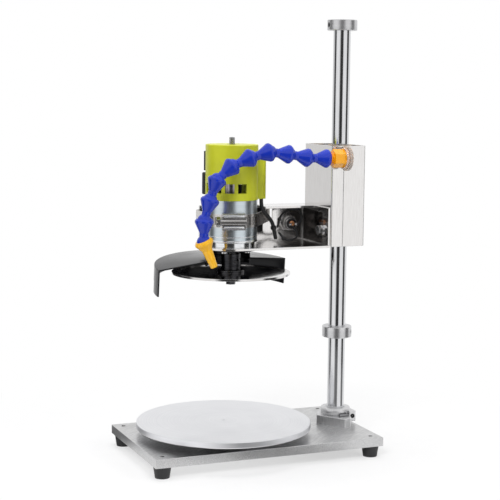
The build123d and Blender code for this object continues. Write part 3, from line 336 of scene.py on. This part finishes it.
def moulded(name, colour, rough, grain=0.00003, fineness=2600.0, spread=0.12, edge=0.0005, **plain):
    """Plastic, rubber or paint: a fine moulded grain, small changes of tone and gloss, and painted
    highlights along its edges.
    """
    f = Finish(name, **plain)
    noise = f.use(STREAKS, Vector=f.place(), Fineness=fineness)
    soft = f.use(EDGES, Width=edge, Normal=f.bump(noise["Streak"], grain))
    low = tuple(c * (1.0 - spread) for c in colour)
    high = tuple(min(c * (1.0 + spread), 1.0) for c in colour)
    tone = f.blend(f.spread(noise["Cloud"], 0.0, 1.0), low, high)
    # Painted highlight: a paler copy of the colour, laid along sharp edges.
    pale = tuple(min(1.0, c * 1.25 + 0.02) for c in colour)
    f.feed("Base Color", f.blend(f.maths("MULTIPLY", soft["Edge"], MOULDED_EDGE_HIGHLIGHT), tone, pale))
    f.feed("Roughness", f.spread(noise["Cloud"], rough - GLOSS_CHANGE, rough + GLOSS_CHANGE))
    f.feed("Normal", soft["Normal"])
    return f.material


def plate_finish():
    """Base plate: pale metal with slanting milling marks and cloudy wear."""
    return brushed("plate_metal", (0.48, 0.48, 0.485), (0.74, 0.74, 0.74), 0.34, (0.06, 1.0, 1.0),
                   fineness=1500.0, turn=(0.0, 0.0, radians(38)), depth=0.00003, edge=0.0005, cloud=0.08)


SLOTS_ROUND = 36.0
SLOT_HALF_HEIGHT = 0.0045
SLOTS_WITHIN = 0.0335
SLOT_DEPTH = 0.0005


def strap_finish():
    """Bright strap with a row of slots pressed into it round the motor; the slots are painted dark as the
    shade inside them.
    """
    f = Finish("strap_steel", Metallic=1.0)
    middle = f.place(centre=(*MOTOR, STRAP_Z))
    marks = f.use(RINGS, Vector=middle, Fineness=300.0)
    lines = f.use(STREAKS, Vector=f.place(), Stretch=(0.2, 0.2, 1.0), Fineness=1400.0)
    height = f.add("SeparateXYZ")
    f.join(middle, height.inputs[0])
    wave = f.maths("SINE", f.maths("MULTIPLY", marks["Angle"], SLOTS_ROUND))
    band = f.maths("LESS_THAN", f.maths("ABSOLUTE", height.outputs[2]), SLOT_HALF_HEIGHT)
    band = f.maths("MULTIPLY", band, f.maths("LESS_THAN", marks["Radius"], SLOTS_WITHIN))
    slot = f.maths("MULTIPLY", f.maths("GREATER_THAN", wave, 0.25), band)
    normal = f.bump(slot, SLOT_DEPTH, f.bump(lines["Streak"], 0.00002))
    f.feed("Normal", f.use(EDGES, Width=0.0002, Normal=normal)["Normal"])
    tone = f.blend(f.spread(lines["Streak"], 0.0, 1.0), (0.50, 0.48, 0.46), (0.82, 0.80, 0.78))
    # Painted shade: the slots are blended towards near black, as the shade inside them.
    f.feed("Base Color", f.blend(f.maths("MULTIPLY", slot, 0.75), tone, (0.10, 0.09, 0.09)))
    f.feed("Roughness", f.spread(lines["Cloud"], 0.2, 0.34))
    return f.material


def post_finish():
    """Ground and plated post: mirror gloss with faint cloudy wear."""
    f = Finish("chrome_post", Metallic=1.0)
    cloud = f.use(STREAKS, Vector=f.place(), Stretch=(1.0, 1.0, 0.05), Fineness=900.0)
    soft = f.use(EDGES, Width=0.0005)
    tone = f.blend(f.spread(cloud["Streak"], 0.0, 1.0), (0.66, 0.665, 0.68), (0.76, 0.765, 0.78))
    f.feed("Base Color", tone)
    f.feed("Roughness", f.spread(cloud["Cloud"], 0.09, 0.14))
    f.feed("Normal", soft["Normal"])
    return f.material


FLUTES = 18.0


def shaft_finish():
    """Shaft with fine flutes round its own line, and painted upright highlights: its tone goes from dark to
    light with each flute.
    """
    f = Finish("fluted_shaft", Metallic=1.0)
    marks = f.use(RINGS, Vector=f.place(centre=(*MOTOR, 0.0)))
    flute_and_highlight = f.maths("SINE", f.maths("MULTIPLY", marks["Angle"], FLUTES))
    soft = f.use(EDGES, Width=0.0002, Normal=f.bump(flute_and_highlight, 0.0003))
    # Painted highlights: the tone swings between near black and pale with the flutes' angle.
    tone = f.blend(f.spread(flute_and_highlight, 0.0, 1.0, -1.0, 1.0), (0.12, 0.12, 0.13), (0.75, 0.75, 0.76))
    f.feed("Base Color", tone)
    f.feed("Roughness", f.spread(marks["Mark"], 0.2, 0.32))
    f.feed("Normal", soft["Normal"])
    return f.material


def disc_finish():
    """Polished disc: mirror face, faint turning marks and a fine grit on the working side."""
    f = Finish("disc_metal", Metallic=1.0)
    marks = f.use(RINGS, Vector=f.place(centre=(*MOTOR, DISC_FOOT)), Fineness=1500.0)
    cloud = f.use(STREAKS, Vector=f.place(), Fineness=1800.0)
    soft = f.use(EDGES, Width=0.0004, Normal=f.bump(marks["Mark"], 0.000006))
    tone = f.blend(f.spread(cloud["Cloud"], 0.0, 1.0), (0.66, 0.64, 0.63), (0.80, 0.79, 0.79))
    f.feed("Base Color", tone)
    f.feed("Roughness", f.spread(cloud["Streak"], 0.06, 0.16))
    f.feed("Normal", soft["Normal"])
    return f.material


def seal_finish():
    """Clear soft seal with a warm tint."""
    f = Finish("clear_seal", Transmission_Weight=0.55, IOR=1.42)
    noise = f.use(STREAKS, Vector=f.place(), Fineness=500.0)
    tone = f.blend(f.spread(noise["Cloud"], 0.0, 1.0), (0.94, 0.78, 0.66), (0.99, 0.90, 0.82))
    f.feed("Base Color", tone)
    f.feed("Roughness", f.spread(noise["Streak"], 0.16, 0.3))
    f.feed("Normal", f.bump(noise["Streak"], 0.00002))
    return f.material


def copper_finish(name, dark, light, rough):
    """Copper or its alloys, with faint lines round the upright."""
    return brushed(name, dark, light, rough, (0.3, 0.3, 1.0), fineness=1600.0, edge=0.0002)


# Stretch of the fine lines: along +X, upright, or round an upright line.
ALONG_X = (0.05, 1.0, 1.0)
UPRIGHT = (1.0, 1.0, 0.04)
AROUND = (0.15, 0.15, 1.0)
FINISHES = {
    "plate_metal": plate_finish(),
    "turned_aluminium": turned("turned_aluminium", (*TABLE, 0.0), (0.80, 0.805, 0.83), (0.88, 0.885, 0.905),
                               0.36, fineness=1600.0, depth=0.000006, edge=0.0005),
    "chrome_post": post_finish(),
    "collar_steel": turned("collar_steel", (*POST, 0.0), (0.54, 0.54, 0.55), (0.74, 0.74, 0.75), 0.34,
                           fineness=1200.0, depth=0.000006),
    "foot_rubber": moulded("foot_rubber", (0.018, 0.018, 0.019), 0.55, grain=0.00006, fineness=1600.0),
    "screw_steel": brushed("screw_steel", (0.50, 0.50, 0.51), (0.80, 0.80, 0.80), 0.22, (1.0, 1.0, 1.0)),
    "black_steel": brushed("black_steel", (0.025, 0.025, 0.028), (0.07, 0.07, 0.075), 0.26, AROUND),
    "bronze": copper_finish("bronze", (0.50, 0.33, 0.14), (0.72, 0.50, 0.25), 0.3),
    "stainless_sheet": brushed("stainless_sheet", (0.74, 0.72, 0.71), (0.83, 0.82, 0.81), 0.14, UPRIGHT,
                               fineness=1500.0, depth=0.000004, edge=0.0008, cloud=0.05),
    "block_aluminium": brushed("block_aluminium", (0.55, 0.55, 0.56), (0.75, 0.75, 0.76), 0.35, ALONG_X),
    "knob_plastic": moulded("knob_plastic", (0.02, 0.02, 0.021), 0.4),
    "zinc_can": brushed("zinc_can", (0.58, 0.65, 0.69), (0.66, 0.72, 0.76), 0.30, (0.04, 0.04, 1.0),
                        depth=0.000004, edge=0.0006, cloud=0.04),
    "lime_plastic": moulded("lime_plastic", (0.58, 0.61, 0.02), 0.36, grain=0.00002, fineness=2200.0,
                            spread=0.08, edge=0.0009),
    "magnet_ferrite": moulded("magnet_ferrite", (0.05, 0.05, 0.052), 0.6, grain=0.00008, fineness=1200.0),
    "copper_winding": copper_finish("copper_winding", (0.34, 0.30, 0.33), (0.58, 0.54, 0.58), 0.28),
    "carbon": moulded("carbon", (0.03, 0.03, 0.03), 0.5, grain=0.00005),
    "strap_steel": strap_finish(),
    "cradle_rubber": moulded("cradle_rubber", (0.014, 0.014, 0.015), 0.6, grain=0.00006, fineness=1500.0),
    "disc_metal": disc_finish(),
    "guard_black": moulded("guard_black", (0.008, 0.008, 0.010), 0.2, grain=0.000002, fineness=700.0,
                           spread=0.2, edge=0.0015, Specular_IOR_Level=0.22),
    "lead_black": moulded("lead_black", (0.012, 0.012, 0.013), 0.42, fineness=1800.0),
    "hose_blue": moulded("hose_blue", (0.008, 0.032, 0.44), 0.17, grain=0.000002, fineness=900.0,
                         spread=0.1, edge=0.0007),
    "nozzle_amber": moulded("nozzle_amber", (0.97, 0.50, 0.008), 0.28, grain=0.00001, fineness=900.0,
                            spread=0.06, edge=0.0006, Coat_Weight=0.3, Coat_Roughness=0.12),
    "fitting_orange": moulded("fitting_orange", (0.96, 0.42, 0.004), 0.26, grain=0.00001, fineness=900.0,
                              spread=0.06, Coat_Weight=0.4, Coat_Roughness=0.1),
    "clear_seal": seal_finish(),
    "fan_plastic": moulded("fan_plastic", (0.35, 0.35, 0.36), 0.45),
}
SOLDER = brushed("solder", (0.62, 0.62, 0.63), (0.86, 0.86, 0.86), 0.2, (1.0, 1.0, 1.0), fineness=500.0,
                 depth=0.0001)
CORE = copper_finish("copper_core", (0.55, 0.20, 0.08), (0.86, 0.46, 0.24), 0.3)
SHAFT = shaft_finish()
CLAMP = brushed("clamp_steel", (0.36, 0.35, 0.34), (0.60, 0.59, 0.58), 0.20, (0.05, 0.05, 1.0),
                depth=0.000004, edge=0.0005)
BEAD = brushed("can_bead", (0.70, 0.72, 0.74), (0.86, 0.87, 0.88), 0.10, AROUND, depth=0.000003, cloud=0.02)
# Painted shade: a dark copy of the stainless sheet, for the shaded face of the arm's end tab.
TAB_SHADE = brushed("painted_tab_shade", (0.10, 0.09, 0.085), (0.22, 0.20, 0.19), 0.13, UPRIGHT, depth=0.000003,
                 edge=0.0003, cloud=0.04)
FLANGE = brushed("flange_metal", (0.66, 0.66, 0.67), (0.86, 0.86, 0.865), 0.46, (1.0, 1.0, 0.06),
                 fineness=1300.0, cloud=0.05)
# Near-black finish for painted shade in recesses.
SHADE_BLACK = moulded("shadow_black", (0.006, 0.006, 0.006), 0.7)
OWN_FINISH = {"spindle_shaft": SHAFT, "clamp_housing": CLAMP, "clamp_worm_screw": CLAMP,
              "motor_end_bell": BEAD, "foot_screws": FINISHES["black_steel"]}

slots = {part["node"]: part["material_slot"] for part in frame["record"]["subparts"]}
for name, node in nodes.items():
    node.data.materials.clear()
    node.data.materials.append(OWN_FINISH.get(name) or FINISHES[slots[name]])


# ---------------------------------------------------------------- pieces
def piece(name, mesh_or_curve, body, slot, finish=None):
    """Object at the origin that rides on a body and takes a slot's finish."""
    made = bpy.data.objects.new(name, mesh_or_curve)
    bpy.context.scene.collection.objects.link(made)
    mesh_or_curve.materials.append(finish or FINISHES[slot])
    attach(made, body)
    return made


def moved(x, y, z):
    """Shift by millimetres."""
    return Matrix.Translation((x * MM, y * MM, z * MM))


def rounded(shape, edges, offset, segments):
    """Round some edges of a bmesh by millimetres."""
    bmesh.ops.bevel(shape, geom=edges, offset=offset * MM, offset_type="OFFSET", segments=segments,
                    affect="EDGES", profile=0.5, material=-1)


def settle(shape, name, smooth=True):
    """Mesh from a bmesh, with outward normals."""
    bmesh.ops.remove_doubles(shape, verts=shape.verts, dist=1e-6)
    bmesh.ops.recalc_face_normals(shape, faces=shape.faces)
    for face in shape.faces:
        face.smooth = smooth
    mesh = bpy.data.meshes.new(name)
    shape.to_mesh(mesh)
    shape.free()
    return mesh


STEPS_ROUND = 48
TO_FRONT = Matrix.Rotation(radians(90), 4, "X")
TO_RIGHT = Matrix.Rotation(radians(90), 4, "Y")


def spun(name, outline, centre, turn=None):
    """Closed ring from an outline of (radius, height) points in millimetres, spun round +Z."""
    shape = bmesh.new()
    corners = [shape.verts.new((r * MM, 0.0, h * MM)) for r, h in outline]
    edges = [shape.edges.new((a, b)) for a, b in zip(corners, corners[1:] + corners[:1])]
    bmesh.ops.spin(shape, geom=corners + edges, cent=(0, 0, 0), axis=(0, 0, 1), angle=2 * pi,
                   steps=STEPS_ROUND, use_merge=True, use_duplicate=False)
    move = moved(*centre)
    if turn is not None:
        move = move @ turn
    bmesh.ops.transform(shape, matrix=move, verts=shape.verts)
    return settle(shape, name)


def bar(name, length, radius, frame_of, flat=1.0):
    """Round bar along X with rounded ends, flattened towards its back, placed by a matrix."""
    shape = bmesh.new()
    bmesh.ops.create_cone(shape, cap_ends=True, segments=32, radius1=radius * MM, radius2=radius * MM,
                          depth=length * MM, matrix=TO_RIGHT)
    ends = [e for e in shape.edges if abs(e.verts[0].co.x - e.verts[1].co.x) < 1e-7]
    rounded(shape, ends, radius * 0.45, 4)
    bmesh.ops.scale(shape, vec=(1.0, flat, 1.0), verts=shape.verts)
    bmesh.ops.transform(shape, matrix=frame_of, verts=shape.verts)
    return settle(shape, name)


def ring(name, outline, centre, body, slot, finish=None, turn=None):
    """Spun ring as a piece."""
    return piece(name, spun(name, outline, centre, turn), body, slot, finish)


def drop(name, centre, size):
    """Lump of set metal, rounder at its top than at its foot."""
    shape = bmesh.new()
    bmesh.ops.create_icosphere(shape, subdivisions=3, radius=1.0)
    for vert in shape.verts:
        wave = 1.0 + 0.10 * sin(3.1 * vert.co.x + 1.3) * cos(2.7 * vert.co.y) - 0.08 * vert.co.z
        vert.co = Vector(c * s * wave * MM for c, s in zip(vert.co, size))
    bmesh.ops.transform(shape, matrix=moved(*centre), verts=shape.verts)
    return settle(shape, name)


def cord(name, route, radius):
    """Flexible lead on a smooth line through its control points."""
    curve = bpy.data.curves.new(name, "CURVE")
    curve.dimensions = "3D"
    line = curve.splines.new("NURBS")
    line.points.add(len(route) - 1)
    for point, place in zip(line.points, route):
        point.co = (*(c * MM for c in place), 1.0)
    line.order_u = 3
    line.use_endpoint_u = True
    line.resolution_u = 16
    curve.bevel_depth = radius * MM
    curve.bevel_resolution = 6
    curve.use_fill_caps = True
    return piece(name, curve, "head", "lead_black")


# ---- Lead from the motor to the joint on the arm, and two wires round the socket ----
LEAD_R = 2.2
WIRE_R = 1.3
LEAD = [(18.0, 4.0, 292.0), (18.0, 4.0, 284.8), (21.0, 5.5, 277.5), (31.0, 10.4, 269.0),
        (37.5, 14.5, 261.5), (40.0, 16.5, 252.0), (42.6, 17.5, 243.6)]
UPPER_WIRE = [(44.0, 16.0, 257.0), (47.5, 20.0, 264.5), (52.5, 24.0, 271.7), (60.4, 25.6, 275.2),
              (71.8, 25.5, 277.3), (78.2, 24.6, 272.3), (78.8, 23.7, 264.1), (73.0, 23.4, 258.2)]
LOWER_WIRE = [(44.6, 13.5, 251.5), (48.0, 11.0, 245.5), (54.5, 10.0, 242.0), (62.0, 11.0, 242.2),
              (68.6, 13.9, 245.9), (70.3, 18.6, 252.5), (64.8, 26.0, 257.3)]
lead = cord("motor_lead_cover", LEAD, LEAD_R)
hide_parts("motor_lead")
upper = cord("upper_wire", UPPER_WIRE, WIRE_R)
lower = cord("lower_wire", LOWER_WIRE, WIRE_R)
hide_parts("lead_wires")


# ---- Socket: insulating ring, collar, bare core, and solder on its two tabs ----
RING_SHAPE = [(3.4, -0.2), (6.3, -0.2), (6.3, 0.9), (5.9, 1.3), (3.4, 1.3)]
COLLAR_SHAPE = [(6.9, 0.0), (8.8, 0.0), (9.0, 0.5), (9.0, 3.2), (8.6, 3.6), (6.9, 3.6)]
CORE_SHAPE = [(0.5, -0.1), (3.3, -0.1), (3.3, 1.7), (2.8, 2.2), (0.5, 2.2)]
collar_place = (SOCKET[0], SOCKET_COLLAR_Y, SOCKET[2])
ring("socket_ring", RING_SHAPE, SOCKET, "head", "lead_black", turn=TO_FRONT)
ring("socket_collar", COLLAR_SHAPE, collar_place, "head", "screw_steel", CLAMP, TO_FRONT)
ring("socket_core", CORE_SHAPE, SOCKET, "head", "copper_winding", CORE, TO_FRONT)
for label, place, size in (("solder_right", (71.6, 25.2, 259.2), (2.3, 2.4, 2.0)),
                           ("solder_left", (64.7, 26.0, 258.8), (2.1, 2.4, 1.8))):
    piece(label, drop(label, place, size), "head", "screw_steel", SOLDER)

# ---- Clamp housing's two rounded ribs, and a dark bar between them: painted shade in the channel ----
AT_CLAMP = moved(*MOTOR, STRAP_Z) @ Matrix.Rotation(STRAP_TURN, 4, "Z")
RIB_Y, RIB_Z, RIB_LENGTH, RIB_R = -37.9, 6.2, 23.0, 1.5
CHANNEL_X, CHANNEL_Y, CHANNEL_LENGTH, CHANNEL_R = 1.0, -37.7, 18.0, 2.7
for label, z in (("rib_upper", RIB_Z), ("rib_lower", -RIB_Z)):
    rib = bar(label, RIB_LENGTH, RIB_R, AT_CLAMP @ moved(0.0, RIB_Y, z), flat=0.8)
    piece(label, rib, "head", "strap_steel", BEAD)
channel_place = AT_CLAMP @ moved(CHANNEL_X, CHANNEL_Y, 0.0)
channel = bar("worm_channel_shade", CHANNEL_LENGTH, CHANNEL_R, channel_place, flat=0.4)
piece("worm_channel_shade", channel, "head", "strap_steel", SHADE_BLACK)

# ---- Thin dark sheet on the arm's end tab: painted shade where the tab's face lies in shadow ----
SHADE_SHEET_HEIGHT, SHADE_SHEET_WIDTH, SHADE_SHEET_T = 36.0, 52.0, 0.2
SHADE_SHEET_PLACE = (87.7, 12.5, 258.5)
shade_sheet = bmesh.new()
bmesh.ops.create_grid(shade_sheet, x_segments=1, y_segments=1, size=0.5)
bmesh.ops.scale(shade_sheet, vec=(SHADE_SHEET_HEIGHT * MM, SHADE_SHEET_WIDTH * MM, 1.0), verts=shade_sheet.verts)
bmesh.ops.transform(shade_sheet, matrix=moved(*SHADE_SHEET_PLACE) @ TO_RIGHT.inverted(), verts=shade_sheet.verts)
bmesh.ops.solidify(shade_sheet, geom=shade_sheet.faces[:], thickness=SHADE_SHEET_T * MM)
piece("tab_shade_sheet", settle(shade_sheet, "tab_shade_sheet", False), "head", "stainless_sheet", TAB_SHADE)

# ---- Soft sleeve over the fitting's ring ----
SLEEVE_SHAPE = [(10.3, 0.1), (11.6, 0.1), (12.2, 0.6), (12.4, 2.8), (10.3, 2.8)]
ring("seal_sleeve", SLEEVE_SHAPE, SEAL, "head", "clear_seal", turn=TO_RIGHT)

# ---- Rolled bead at the foot of the can, and the step over it ----
BEAD_SHAPE = [(29.0, 244.6), (29.7, 245.0), (29.9, 246.0), (29.7, 247.0), (29.2, 247.4), (29.0, 247.4)]
STEP_SHAPE = [(29.1, 250.4), (29.45, 250.6), (29.5, 251.2), (29.3, 251.6), (29.1, 251.6)]
for label, outline in (("can_bead", BEAD_SHAPE), ("can_step", STEP_SHAPE)):
    ring(label, outline, (*MOTOR, 0.0), "head", "zinc_can", BEAD)

# ---- Black strip on the cover's rear left, in two lengths ----
STRIP_SIDE = (-0.85, 0.53)
for label, z, length, thick, reach in (("strip_lower", 309.5, 25.0, 3.2, 30.8),
                                       ("strip_upper", 335.0, 22.0, 1.7, 30.4)):
    spot = moved(MOTOR[0] + STRIP_SIDE[0] * reach, MOTOR[1] + STRIP_SIDE[1] * reach, z) @ TO_RIGHT
    piece(label, bar(label, length, thick, spot), "head", "lead_black")

# ---- Clamp flange at the foot of the post: flat-sided body, round boss, and ear with its screw ----
FLANGE_T = 10.5
BACK_R = 22.0
BACK_TURNS = range(40, 180, 15)
FRONT_Y = -20.0
CORNER_R, RIM_R, EAR_R = 2.0, 0.5, 0.6
FRONT_CORNERS = [(92.6, 3.8), (114.0, -29.8), (123.4, -25.4), (126.4, -20.5), (128.2, -10.0), (128.6, 2.0),
                 (127.6, 13.0)]
BOSS_SHAPE = [(10.05, 33.4), (17.25, 33.4), (17.25, 41.3), (16.5, 42.0), (10.6, 42.0), (10.05, 41.4)]
EAR_MIDDLE = (131.9, -3.5, 32.2)
EAR_SIZE = (8.6, 17.0, 12.6)
SCREW_HEAD = (132.0, -12.0, 32.4)
SCREW_HEAD_SHAPE = [(0.3, 0.0), (2.6, 0.0), (2.6, 0.5), (1.4, 0.55), (1.2, 0.1), (0.3, 0.1)]
THREAD = (113.6, -14.0, 34.6)
THREAD_R, THREAD_DEPTH, THREAD_STEP, THREAD_STEPS = 1.5, 0.7, 0.75, 16
THREAD_BORE, THREAD_LENGTH = 0.3, 11.3


def clamp_flange():
    """Plate with flat front sides and a round back."""
    turns = [radians(angle) for angle in BACK_TURNS]
    back = [(POST[0] + BACK_R * cos(turn), POST[1] + BACK_R * sin(turn)) for turn in turns]
    shape = bmesh.new()
    corners = [shape.verts.new((x * MM, y * MM, FLANGE_FOOT * MM)) for x, y in FRONT_CORNERS + back]
    grown = bmesh.ops.extrude_face_region(shape, geom=[shape.faces.new(corners)])
    risen = [v for v in grown["geom"] if isinstance(v, bmesh.types.BMVert)]
    bmesh.ops.translate(shape, vec=(0.0, 0.0, FLANGE_T * MM), verts=risen)
    bmesh.ops.recalc_face_normals(shape, faces=shape.faces)
    front = [e for e in shape.edges if abs(e.verts[0].co.z - e.verts[1].co.z) > FLANGE_T * MM / 2
             and e.verts[0].co.y < FRONT_Y * MM]
    rounded(shape, front, CORNER_R, 4)
    near_top = (FLANGE_FOOT + FLANGE_T - RIM_R) * MM
    rims = [e for e in shape.edges if min(v.co.z for v in e.verts) > near_top and len(e.link_faces) == 2]
    rounded(shape, rims, RIM_R, 2)
    return settle(shape, "clamp_flange_body", False)


def clamp_ear():
    """Block beside the flange, with rounded edges."""
    shape = bmesh.new()
    size = Matrix.Diagonal((*(length * MM for length in EAR_SIZE), 1.0))
    bmesh.ops.create_cube(shape, size=1.0, matrix=moved(*EAR_MIDDLE) @ size)
    rounded(shape, shape.edges[:], EAR_R, 2)
    return settle(shape, "clamp_ear", False)


flange = piece("clamp_flange_body", clamp_flange(), "base", "collar_steel", FLANGE)
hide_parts("column_flange")
ring("clamp_flange_boss", BOSS_SHAPE, (*POST, 0.0), "base", "collar_steel", FLANGE)
piece("clamp_ear", clamp_ear(), "base", "collar_steel", FLANGE)
# Painted shade: a dark disc on the ear's front stands for the shade in the screw's socket.
ring("clamp_socket", SCREW_HEAD_SHAPE, SCREW_HEAD, "base", "black_steel", SHADE_BLACK, TO_FRONT)
teeth = [(THREAD_R + THREAD_DEPTH * (step % 2), THREAD_STEP * step) for step in range(THREAD_STEPS)]
teeth = [(THREAD_BORE, 0.0)] + teeth + [(THREAD_BORE, THREAD_LENGTH)]
# The thread takes the shaft's finish, painted upright highlights included.
ring("clamp_thread", teeth, THREAD, "base", "black_steel", SHAFT, TO_RIGHT)

# ---- Screw's dimple on the arbor, and knots of the two ties ----
DIMPLE_SHAPE = [(0.4, 0.0), (2.0, 0.0), (2.3, 0.25), (2.3, 0.5), (1.5, 0.62), (0.9, 0.2), (0.4, 0.1)]
DIMPLE_SIDE, DIMPLE_FRONT, DIMPLE_Z = 1.5, 10.55, 221.5
dimple_place = (MOTOR[0] + DIMPLE_SIDE, MOTOR[1] - DIMPLE_FRONT, DIMPLE_Z)
ring("arbor_screw", DIMPLE_SHAPE, dimple_place, "spindle", "black_steel", turn=TO_FRONT)
KNOT_LENGTH, KNOT_R = 4.2, 2.1
for label, place, tilt in (("tie_knot_upper", (48.3, 20.6, 265.8), 40.0),
                           ("tie_knot_lower", (49.5, 10.8, 244.5), -25.0)):
    knot = moved(*place) @ Matrix.Rotation(radians(tilt), 4, "Y")
    piece(label, bar(label, KNOT_LENGTH, KNOT_R, knot), "head", "lead_black")


# ---------------------------------------------------------------- stage
# Distances on the floor in metres, and how much of the floor's colour is glow near and far.
FLOOR_R = 0.55
FADE_FROM, FADE_TO = 0.16, 0.42
FADE_NEAR, FADE_FAR = 0.55, 1.0
PANELS_FROM, PANELS_TO = 0.06, 0.2
PANELS_NEAR, PANELS_FAR = 0.2, 0.85
# Upward part of a direction under which the room has its dark panels.
PANEL_HEIGHT = 0.24
WHITE = (1.0, 1.0, 1.0)
ROOM_LIGHT = (0.36, 0.36, 0.37)
CEILING = (0.92, 0.92, 0.92)


def stage_floor():
    """Wide pale floor that fades to plain white away from the machine; metal sees the panels in it."""
    shape = bmesh.new()
    bmesh.ops.create_circle(shape, cap_ends=True, segments=96, radius=FLOOR_R)
    floor = bpy.data.objects.new("floor", settle(shape, "floor", False))
    bpy.context.scene.collection.objects.link(floor)
    f = Finish("floor_white", Roughness=0.6, Specular_IOR_Level=0.2)
    cloud = f.use(STREAKS, Vector=f.place(), Fineness=8.0)
    tone = f.blend(f.spread(cloud["Cloud"], 0.0, 1.0), (0.93, 0.93, 0.93), (0.95, 0.95, 0.95))
    f.feed("Base Color", tone)
    far = f.use(RINGS, Vector=f.place())["Radius"]
    path = f.add("LightPath")
    seen = f.maths("MAXIMUM", path.outputs["Is Camera Ray"], path.outputs["Is Transmission Ray"])
    share = f.maths("MULTIPLY", seen, f.spread(far, FADE_NEAR, FADE_FAR, FADE_FROM, FADE_TO))
    glossy = path.outputs["Is Glossy Ray"]
    near_post = f.place(centre=(*POST, 0.0))
    from_post = f.use(RINGS, Vector=near_post)["Radius"]
    panels = f.spread(from_post, PANELS_NEAR, PANELS_FAR, PANELS_FROM, PANELS_TO)
    gloss = f.maths("MULTIPLY", glossy, panels)
    share = f.maths("MAXIMUM", share, gloss)
    glow = f.add("Emission")
    f.join(f.blend(glossy, WHITE, f.use(PANELS, Vector=near_post)["Color"]), glow.inputs["Color"])
    mix = f.add("MixShader")
    f.join(share, mix.inputs[0])
    f.join(f.shader.outputs[0], mix.inputs[1])
    f.join(glow.outputs[0], mix.inputs[2])
    f.join(mix.outputs[0], f.tree.nodes["Material Output"].inputs["Surface"])
    floor.data.materials.append(f.material)


def stage_world():
    """Even white room; polished metal sees a few soft grey panels in it."""
    world = bpy.data.worlds.new("studio")
    bpy.context.scene.world = world
    world.use_nodes = True
    s = Sheet(world.node_tree)
    back = world.node_tree.nodes["Background"]
    path = s.add("LightPath")
    spot = s.add("TexCoord")
    parts = s.add("SeparateXYZ")
    s.join(spot.outputs["Generated"], parts.inputs[0])
    room = s.add("Group", node_tree=PANELS)
    s.join(spot.outputs["Generated"], room.inputs[0])
    low = s.maths("LESS_THAN", parts.outputs[2], PANEL_HEIGHT)
    panels = s.blend(low, CEILING, room.outputs[0])
    sky = s.blend(path.outputs["Is Glossy Ray"], ROOM_LIGHT, panels)
    seen = s.maths("MAXIMUM", path.outputs["Is Camera Ray"], path.outputs["Is Transmission Ray"])
    s.join(s.blend(seen, sky, WHITE), back.inputs["Color"])
    back.inputs["Strength"].default_value = 1.0


LAMPS_AIM = Vector((0.0, 0.0, 0.2))


def lamp(name, place, size, power):
    """Square lamp aimed at the machine, with no mirror image in its gloss."""
    light = bpy.data.lights.new(name, "AREA")
    light.energy = power
    light.size = size
    made = bpy.data.objects.new(name, light)
    bpy.context.scene.collection.objects.link(made)
    made.visible_glossy = False
    made.location = place
    made.rotation_euler = (LAMPS_AIM - Vector(place)).to_track_quat("-Z", "Y").to_euler()


stage_floor()
stage_world()
lamp("key", (-1.3, -1.5, 1.7), size=0.9, power=30.0)
lamp("fill", (1.6, -1.3, 1.2), size=1.0, power=13.0)
lamp("top", (0.0, 0.3, 2.0), size=1.2, power=18.0)
bpy.context.scene.view_settings.view_transform = "Standard"
